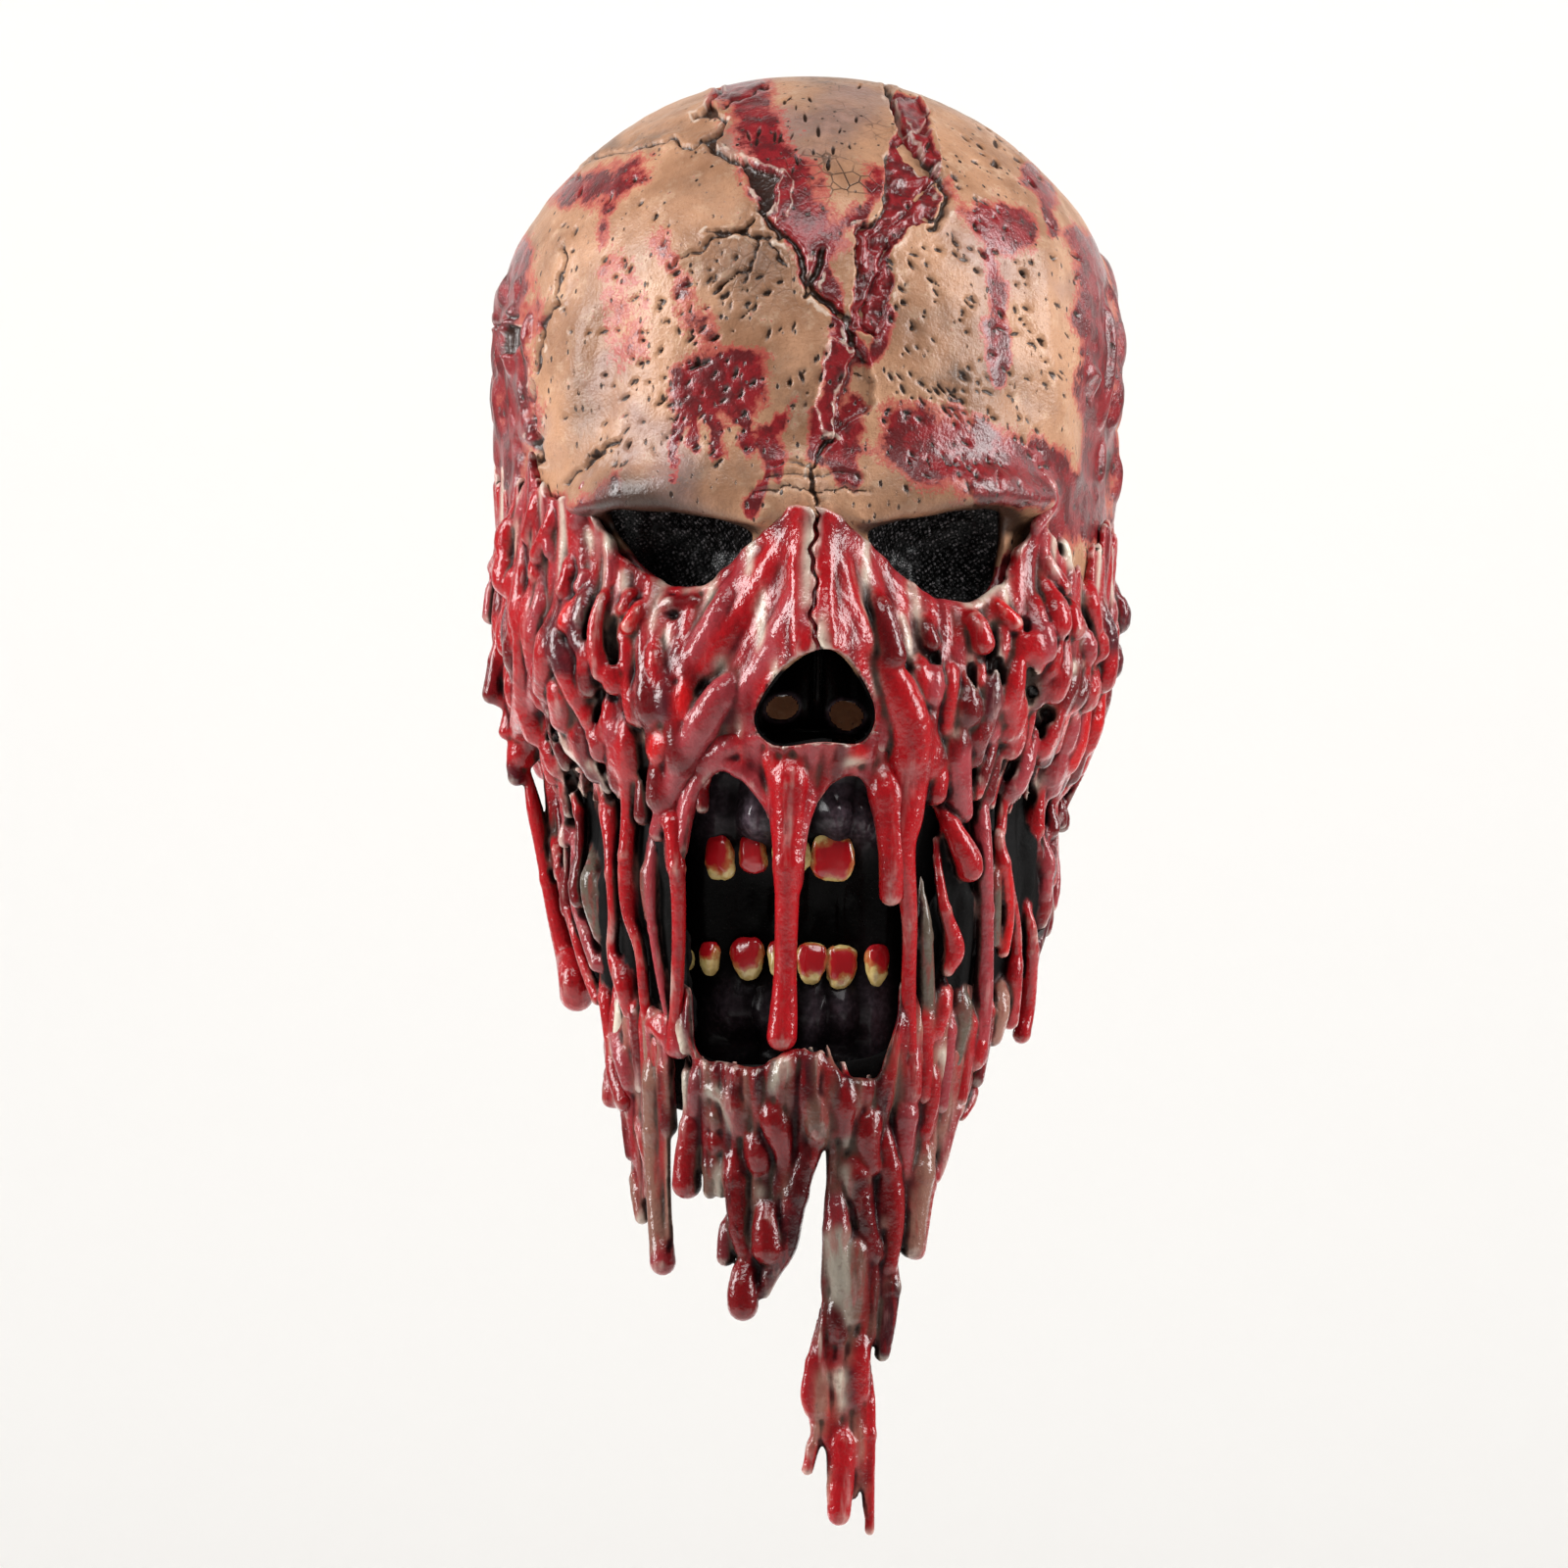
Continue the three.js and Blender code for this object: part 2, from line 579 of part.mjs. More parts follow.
// A drip: a turned teardrop bent along the head's surface, then down the line it hangs along.
function drip(row, free) {
  const profile = [
    { share: 1, radius: 0 },
    { share: 0.985, radius: 0.6 * row.bulb },
    { share: 0.94, radius: row.bulb },
    { share: 0.48, radius: row.neck },
    { share: 0.2, radius: 0.5 * (row.root + row.neck) },
    { share: 0.05, radius: 0.8 * row.root },
    { share: 0, radius: 0 },
  ];
  const turned = new THREE.LatheGeometry(
    profile.map((p) => new THREE.Vector2(p.radius, -p.share)),
    DRIP_SIDES,
  );
  const widest = Math.max(row.root, row.neck, row.bulb);
  const spot = turned.attributes.position;
  for (let i = 0; i < spot.count; i++) {
    const share = -spot.getY(i);
    const drop = THREE.MathUtils.lerp(row.top, row.tip, share);
    const angle = row.angle + row.drift * share * share;
    const centre = headPoint(angle, drop, DRIP_SEAT * widest + SEAT_GAP + free * hangClear(drop));
    const outwards = normalOf(smoothSection, angle, drop).setZ(0).normalize();
    const sideways = new THREE.Vector3(-outwards.y, outwards.x, 0);
    centre.addScaledVector(sideways, spot.getX(i)).addScaledVector(outwards, spot.getZ(i));
    spot.setXYZ(i, centre.x, centre.y, centre.z);
  }
  return solidOf(turned);
}

function meltedFlesh(part) {
  const flesh = FLESH_SHEETS[part];
  const drips = DRIPS[part].map((row) => drip(row, flesh.free));
  return clearOfSkull(joined([fleshSheet(flesh), ...drips]));
}

// Assembly

const mask = new THREE.Group();
mask.name = "melting_skull_mask";
mask.add(meshOf("skull_shell", skull(), "bone"));
mask.add(meshOf("eye_gauze_left", eyeGauze(EYE_GAUZE.left), "gauze"));
mask.add(meshOf("eye_gauze_right", eyeGauze(EYE_GAUZE.right), "gauze"));
mask.add(meshOf("nose_lining", noseLining(), "black"));
mask.add(meshOf("mouth_lining", mouthLining(), "black"));
UPPER_TEETH.forEach((row, i) => mask.add(meshOf(`tooth_upper_${i + 1}`, tooth(row, true, 0), "tooth")));
LOWER_TEETH.forEach((row, i) => mask.add(meshOf(`tooth_lower_${i + 1}`, tooth(row, false, 0), "tooth")));
for (const part of Object.keys(DRIPS)) mask.add(meshOf(`melt_${part}`, meltedFlesh(part), "flesh"));

export default mask;
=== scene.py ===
"""Looks of a full-head melting skull mask of cast latex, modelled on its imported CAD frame."""

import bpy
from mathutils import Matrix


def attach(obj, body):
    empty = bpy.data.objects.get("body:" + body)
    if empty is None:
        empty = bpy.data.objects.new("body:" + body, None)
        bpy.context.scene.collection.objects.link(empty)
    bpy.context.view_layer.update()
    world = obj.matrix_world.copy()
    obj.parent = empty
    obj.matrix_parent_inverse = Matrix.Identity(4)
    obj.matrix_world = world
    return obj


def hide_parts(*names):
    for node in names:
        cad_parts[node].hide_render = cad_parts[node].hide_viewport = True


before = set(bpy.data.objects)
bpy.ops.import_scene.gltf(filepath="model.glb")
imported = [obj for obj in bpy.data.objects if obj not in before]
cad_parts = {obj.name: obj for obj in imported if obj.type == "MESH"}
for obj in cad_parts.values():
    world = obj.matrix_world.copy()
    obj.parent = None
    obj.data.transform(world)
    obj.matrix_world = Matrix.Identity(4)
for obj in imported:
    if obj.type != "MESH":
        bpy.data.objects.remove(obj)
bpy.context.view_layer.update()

import functools
import itertools
import math
from collections import namedtuple

import bpy
import numpy as np
import openvdb

bl_info = {
    "name": "Melting Skull Mask",
    "version": (1, 0, 0),
    "blender": (4, 5, 0),
    "location": "3D View > Sidebar > Mask",
    "description": "Models a latex skull mask with melted flesh on its CAD frame",
    "category": "Add Mesh",
}

# Lengths here are in millimetres, as in the CAD source. Blender's metres come in by MM.
# A place on the head is an angle, in degrees from the middle of the face and growing to +X,
# and a drop, measured down from the outside of the crown.
MM = 0.001
WALL = 3.0
CHIN_RIM, NAPE_RIM = 333, 266
HANG_START, HANG_FULL, HANG_CLEAR = 222, 258, 7
MOUTH_DEPTH, GUM_DEPTH, NOSE_DEPTH, TOOTH_DEPTH = 14, 7, 13, 6
SEAT_GAP, LINING = 0.6, 2
SIDE_ON = 86

Section = namedtuple("Section", "drop half front back")
HEAD_SECTIONS = (
    Section(0, 0, 0, 0),
    Section(1.8, 20, 22, 22),
    Section(7, 39, 44, 45),
    Section(20, 63, 71, 74),
    Section(39, 83, 92, 95),
    Section(58, 95, 104, 107),
    Section(80, 100, 110, 114),
    Section(102, 101, 112, 116),
    Section(126, 99.5, 112, 115),
    Section(150, 97.5, 110, 110),
    Section(174, 95.5, 109, 104),
    Section(196, 91.5, 109, 97),
    Section(216, 84, 108, 91),
    Section(238, 76, 105, 86),
    Section(264, 69.5, 100, 83),
    Section(292, 64.5, 95, 80),
    Section(318, 60, 91, 77),
    Section(342, 58, 88, 75),
    Section(372, 57, 87, 75),
    Section(420, 56, 86, 75),
    Section(470, 56, 86, 75),
)

Form = namedtuple("Form", "angle drop wide tall rise")
FACE_FORMS = {
    "brow_left": Form(-24, 134, 17, 9, 6.5),
    "brow_right": Form(25, 134, 17, 9, 6.5),
    "glabella": Form(1, 136, 9, 10, 3),
    "socket_left": Form(-24.5, 157, 13, 16, -15),
    "socket_right": Form(26, 158, 13.5, 17, -15),
    "nose_bridge": Form(1, 158, 5.5, 20, 8),
    "nose_tip": Form(2, 186, 8, 17, 14),
    "nose_wings": Form(1.5, 207, 13, 13, 7),
    "cheekbone_left": Form(-46, 184, 15, 14, 4.5),
    "cheekbone_right": Form(47, 184, 15, 14, 4.5),
    "temple_left": Form(-70, 122, 13, 24, -4),
    "temple_right": Form(70, 122, 13, 24, -4),
    "cheek_hollow_left": Form(-58, 242, 16, 20, -5),
    "cheek_hollow_right": Form(58, 242, 16, 20, -5),
    "chin": Form(-4, 322, 22, 14, 4),
}

# Low ridges and dents of the bone that the casting adds: rise, reach, and x and drop along each.
Ridge = namedtuple("Ridge", "rise reach points")
RIDGES = (
    Ridge(6.6, 5, ((-70, 140), (-56, 136.5), (-42, 136.8), (-28, 139.4), (-14, 144))),
    Ridge(6.6, 5, ((72, 138), (56, 135.5), (42, 136.8), (28, 139.8), (15, 144.5))),
    Ridge(-3.6, 6, ((-68, 151), (-66, 158))),
    Ridge(-3.6, 6, ((71, 151), (70, 160))),
    Ridge(1.6, 4.5, ((75, 60), (76, 90), (80, 112), (88, 130))),
    Ridge(1.3, 4.5, ((-72, 80), (-75, 100), (-82, 124))),
    Ridge(-1.8, 7, ((-63, 84), (-66, 112))),
    Ridge(-1.6, 7, ((65, 70), (66, 106))),
    Ridge(1.2, 8, ((-40, 112), (-28, 122))),
)

# Openings in the shell as seen from the front: x and drop.
EYE_LEFT = (
    (-65, 148), (-61, 141), (-54, 139.5), (-40, 142.5), (-26, 146), (-18, 151),
    (-25, 160), (-36, 168), (-48, 167), (-58, 159),
)
EYE_RIGHT = (
    (19, 149), (35, 145), (51, 141), (61, 143), (65, 153),
    (61, 166), (51, 173), (39, 171), (27, 161),
)
NOSE = (
    (5, 187), (14, 192), (21, 206), (17, 216),
    (4, 216), (-11, 217), (-17, 208), (-8, 193),
)
MOUTH = (
    (-28, 223), (-6, 225), (17, 224), (29, 240), (31, 280),
    (28, 312), (-5, 317), (-37, 314), (-42, 280), (-40, 240),
)

Patch = namedtuple("Patch", "low high top bottom")
GAUZE_LEFT = Patch(-67, -13, 135, 175)
GAUZE_RIGHT = Patch(14, 71, 135, 180)
NOSE_PATCH = Patch(-24, 28, 181, 219.6)
MOUTH_PATCH = Patch(-48, 37, 220.4, 326)
NOSTRILS = ((-9.2, 205.6, 5), (12.6, 208.4, 5.6))
GUMS = (242, 300)
GUM_TALL = 12

# Teeth: place, size, and the levels between which gloss red covers each, from -1 at its foot to 1.
Tooth = namedtuple("Tooth", "x drop width height low high")
UPPER_TEETH = (
    Tooth(-30.8, 253, 10, 15, -0.4, 2), Tooth(-20.3, 252.5, 9, 13, -2, 2),
    Tooth(-6, 252, 12, 13, 0.6, 2), Tooth(9, 253, 14, 17, -0.8, 0.55),
)
LOWER_TEETH = (
    Tooth(-39, 285, 3.5, 7, 3, 4), Tooth(-33.5, 285, 6, 11, 0, 2), Tooth(-23.5, 286, 11, 13.5, -0.35, 2),
    Tooth(-11.5, 286, 7, 12, 0.7, 2), Tooth(1.4, 287.5, 9.4, 13.5, -0.45, 0.8),
    Tooth(12.7, 288.5, 10, 14, -0.5, 0.75), Tooth(23.2, 287, 7.6, 13.5, -0.15, 2),
)

# Bulges of the black gum: x, drop, half width, half height, rise, and how strong the painted sheen on it is.
Gum = namedtuple("Gum", "x drop wide tall rise grey")
GUM_BULGES = (
    Gum(-33, 236, 6, 12, 5, 0.25), Gum(-18, 239, 5.5, 10, 7, 0.8), Gum(10.5, 238, 5.5, 9, 7, 0.7),
    Gum(19.5, 241, 4.5, 8, 6, 0.6), Gum(-28, 303, 6, 9, 4, 0.2), Gum(24, 301, 4, 12, 5, 0.5),
    Gum(13, 303, 5, 9, 4, 0.3), Gum(-14, 304, 6, 8, 3.5, 0.1), Gum(3, 304, 4, 9, 3.5, 0.25),
)

# Breaks in the bone as seen from the front: half width, depth, and x and drop along them.
Crack = namedtuple("Crack", "half depth points")
CRACKS = (
    Crack(0.8, 2.2, ((-29, 4.5), (-28.5, 7.5), (-31, 11.5))),
    Crack(0.8, 2.2, ((-28.5, 16), (-26.5, 18.5))),
    Crack(0.6, 1.5, ((-33.5, 25.5), (-37, 27), (-40.5, 25.5), (-42, 24), (-45.5, 24))),
    Crack(0.5, 0.9, ((-45.5, 24), (-56.5, 26.5), (-65, 27.5), (-71.5, 28.5))),
    Crack(1.0, 2.2, ((-31, 27.5), (-26.5, 29.5), (-23.5, 31.5), (-21.5, 33))),
    Crack(1.1, 2.4, ((-14, 50), (-10.5, 55), (-5, 59), (-3, 63), (-0.5, 75.5))),
    Crack(0.7, 1.8, ((-16.5, 51.5), (-19.5, 54.5), (-23.5, 55.5), (-31, 55))),
    Crack(0.5, 1.0, ((-23.5, 56), (-28.5, 56.5), (-33, 60.5), (-40, 64), (-43.5, 66.5))),
    Crack(0.7, 1.8, ((-23, 55), (-18, 56.5), (-11.5, 57))),
    Crack(0.5, 1.2, ((-15.5, 57.5), (-16.5, 63), (-19.5, 68), (-25, 71), (-27.5, 73.5))),
    Crack(0.45, 0.9, ((-18.5, 67.5), (-20.5, 71.5))),
    Crack(0.5, 1.2, ((-11.5, 58.5), (-7.5, 66))),
    Crack(0.5, 1.0, ((-27.5, 13.5), (-22, 10), (-18, 8.5), (-12.5, 5))),
    Crack(0.6, 1.4, ((-78, 57), (-77.5, 63), (-79, 71.5), (-80, 77))),
    Crack(0.9, 1.8, ((-80, 77), (-84, 83), (-85, 91), (-86.5, 98))),
    Crack(1.9, 2.4, ((-87.5, 102), (-88, 108.5), (-86.5, 118), (-85, 125.5))),
    Crack(0.7, 1.5, ((-100, 80), (-93.5, 78.5))),
    Crack(1.2, 2.4, ((25.5, 4.5), (26.5, 11), (28.5, 18), (30.5, 22))),
    Crack(1.3, 2.2, ((40.5, 36), (43.5, 42), (43, 48.5), (39.5, 53.5))),
    Crack(0.7, 1.6, ((24.6, 30), (25.6, 36), (24.8, 43), (22.6, 50), (16, 54), (14.6, 61), (16, 69))),
    Crack(0.6, 1.4, ((27, 57), (23, 63), (22, 70), (18, 77), (17, 84), (20.6, 89))),
    Crack(0.6, 1.4, ((41, 37), (36, 41), (33, 47), (28, 51), (20, 55), (19, 60))),
    Crack(0.6, 1.6, ((-76.5, 134), (-69, 127), (-61, 120.5))),
    Crack(1.6, 2.4, ((4, 61.5), (3, 66.5), (0.5, 73.5), (6.5, 79), (11, 81.5))),
    Crack(1.4, 2.4, ((11, 81.5), (12.5, 85.5), (14.5, 92))),
    Crack(0.9, 2.0, ((7.5, 121.5), (5.5, 122.5), (3, 125.5), (1.5, 131), (1.5, 137), (3, 141.5))),
    Crack(0.7, 1.6, ((4, 143.5), (3, 153), (4, 165.5), (3, 175), (4.5, 187.5))),
    Crack(0.5, 0.7, ((-17, 137.5), (-7.5, 136), (1.5, 137), (11.5, 136), (19.5, 137))),
    Crack(0.5, 0.6, ((-14, 133), (-5, 131.5), (1.5, 133))),
    Crack(0.5, 0.6, ((2, 133), (9, 131.5), (17, 133))),
    Crack(0.5, 0.6, ((-11, 129), (-4, 128.5), (2, 129.5))),
)

# Chips broken right out of the bone, and plates of it that have lifted. Blood fills the torn one.
TORN = -1.7
Chip = namedtuple("Chip", "rise points")
CHIPS = (
    Chip(-2.4, ((-36.5, 15), (-33, 13.5), (-31, 11.5), (-28.5, 15), (-29.5, 17), (-36, 17))),
    Chip(-2.4, ((-26.5, 18.5), (-28.5, 22.5), (-33.5, 25), (-33, 26.5), (-29.5, 27), (-26.5, 22))),
    Chip(-2.5, (
        (-21.5, 31.5), (-19.5, 32), (-13.5, 35), (-9, 36), (-11, 41), (-11.5, 45),
        (-12.5, 48.5), (-14.5, 50), (-16, 48.5), (-15, 44), (-18.5, 39), (-20, 35.5),
    )),
    Chip(-2.3, ((-94.5, 82), (-92.5, 83), (-92.5, 88.5), (-94.5, 91.5), (-97, 91.5), (-96, 85.5))),
    Chip(TORN, (
        (26.5, 11), (28.1, 21), (25.2, 28), (25.9, 35.5), (25, 43), (23, 50), (15.2, 54.2), (14.4, 61.4),
        (16, 68.7),
        (14, 76), (12.8, 84.9), (20.9, 89.8), (24.9, 78.4), (26.5, 70.4), (25.7, 62.2), (31.4, 54.4),
        (39.5, 51),
        (42, 43), (38.4, 39), (42, 35.5), (41, 30), (38, 23.4), (38.7, 15.3), (34.6, 9), (28, 8),
    )),
    Chip(-2.4, (
        (28.5, 24.5), (31.5, 23), (34.5, 27.5), (40, 32.5), (39.5, 36),
        (36, 36), (33, 32.5), (29, 28),
    )),
    Chip(-1.9, (
        (15, 92), (17, 94.5), (18.5, 100.5), (20, 105.5), (20.5, 111), (15, 113.5),
        (9, 118.5), (8, 121.5), (8.5, 115), (9, 107), (12.5, 98.5), (14.5, 94.5),
    )),
    Chip(1.5, (
        (6.5, 88.5), (12, 91), (14.5, 92), (12.5, 97), (9, 104),
        (8, 115), (7.5, 122), (5, 118.5), (2, 111), (5, 100.5),
    )),
    Chip(1.6, ((28.5, 10), (36.5, 9.5), (38.5, 15), (37, 18.5), (33, 22), (30.5, 22.5), (29, 17))),
    Chip(1.6, ((33, 22), (40, 22), (42, 28.5), (41.5, 35.5), (37, 30))),
    Chip(0.9, ((-21, 30.5), (-9, 34.5), (-5, 39), (-6, 50), (-10.5, 53), (-9.5, 42), (-8, 36))),
)

# Groups of pits: x and drop of the middle, spread each way, how many, and their lean.
Pits = namedtuple("Pits", "x drop wide tall count lean")
PITS = (
    Pits(-43, 98, 34, 30, 120, 40), Pits(-30, 72, 17, 14, 36, 35), Pits(-66, 60, 22, 26, 30, 30),
    Pits(40, 106, 24, 10, 60, -40), Pits(56, 70, 30, 44, 80, -45), Pits(4, 20, 34, 16, 36, 10),
    Pits(58, 30, 22, 24, 36, -40), Pits(52, 124, 28, 14, 44, -35), Pits(-46, 122, 30, 9, 30, 35),
    Pits(-4, 100, 14, 18, 20, 15), Pits(30, 80, 12, 20, 24, -30), Pits(78, 96, 12, 34, 30, -50),
)

# Dirt rubbed into the bone, and in the rows at drops of 130 to 134, bands of painted shade along the brows:
# x and drop of the middle, spread each way, how dark, and how crazed.
DirtAndShade = namedtuple("DirtAndShade", "x drop wide tall dark crazed")
DIRT_AND_BROW_SHADE = (
    DirtAndShade(8, 22, 17, 18, 0.55, 1), DirtAndShade(12, 40, 12, 8, 0.2, 1), DirtAndShade(-56, 23, 15, 4, 0.7, 0),
    DirtAndShade(-17, 68, 17, 16, 0.45, 0.3),
    DirtAndShade(50, 102, 16, 5, 0.8, 0), DirtAndShade(38, 84, 14, 9, 0.4, 0), DirtAndShade(-36, 130, 8, 3.5, 0.8, 0),
    DirtAndShade(-34, 40, 12, 9, 0.35, 0),
    DirtAndShade(-70, 112, 5, 14, 0.5, 0), DirtAndShade(-6, 108, 9, 14, 0.4, 0), DirtAndShade(-30, 133, 26, 5, 0.4, 0),
    DirtAndShade(30, 134, 22, 5, 0.4, 0),
)

# Blood brushed on the bone: strength, half width, and x and drop along each stroke.
Stroke = namedtuple("Stroke", "strength half points")
BLOOD = (
    Stroke(0.8, 11, ((-24, 4), (-14, 24), (-5, 42), (4, 58))),
    Stroke(1.0, 6, ((-12, 40), (-8, 50), (-3, 58), (2, 62))),
    Stroke(1.0, 5, ((-2, 62), (3, 72), (9, 80), (12, 92))),
    Stroke(0.7, 4, ((22, 34), (20, 46), (12, 52))),
    Stroke(0.9, 4, ((26, 80), (22, 90), (18, 94))),
    Stroke(1.0, 5, ((8, 88), (6, 104), (6, 116), (5, 124))),
    Stroke(0.95, 6, ((14, 112), (14, 122), (12, 131))),
    Stroke(0.7, 8, ((-76, 37), (-64, 35), (-56, 32))),
    Stroke(0.6, 5, ((-62, 38), (-63, 54))),
    Stroke(0.4, 7, ((-62, 66), (-58, 92))),
    Stroke(0.5, 6, ((-46, 60), (-38, 76), (-33, 92))),
    Stroke(1.1, 12, ((-36, 105), (-24, 104))),
    Stroke(0.95, 2.6, ((-40, 110), (-41, 130))),
    Stroke(0.95, 2.6, ((-28, 110), (-28, 127))),
    Stroke(0.9, 2.2, ((-35, 110), (-35, 124))),
    Stroke(0.9, 2.4, ((-21, 108), (-21, 124))),
    Stroke(1.0, 6, ((-14, 121), (-10, 126))),
    Stroke(0.95, 2.2, ((-12, 126), (-15, 134), (-18, 140))),
    Stroke(0.85, 3.6, ((-8, 112), (-12, 119))),
    Stroke(1.0, 7.5, ((57, 51), (66, 54))),
    Stroke(0.8, 3.4, ((59, 60), (60, 80))),
    Stroke(1.0, 5, ((58, 82), (60, 99))),
    Stroke(0.8, 3.6, ((71, 28), (76, 40), (79, 52))),
    Stroke(1.1, 13, ((34, 121), (52, 126), (70, 130))),
    Stroke(0.95, 6, ((76, 130), (84, 141), (80, 150))),
    Stroke(0.9, 9, ((90, 56), (95, 90), (94, 120), (90, 148))),
    Stroke(0.8, 9, ((-94, 60), (-97, 90), (-95, 120), (-97, 148))),
    Stroke(0.75, 8, ((-84, 141), (-66, 140))),
    Stroke(0.7, 4, ((-29, 4), (-31, 11))),
    Stroke(0.5, 4, ((46, 36), (50, 48))),
    Stroke(1.1, 6, ((3, 152), (3, 170), (4, 190))),
)

# Paints that the flesh is brushed with.
PAINTS = {
    "cream": "#cfc2b0", "red": "#9c1017", "deep": "#5c080d", "pink": "#93343a", "olive": "#574c41",
    "tan": "#8e6355", "maroon": "#4a151c", "soot": "#141011", "wet": "#b31114",
}
PAINT_NAMES = list(PAINTS)
ROOTS = {"wet": "red", "deep": "red", "maroon": "deep", "cream": "pink"}

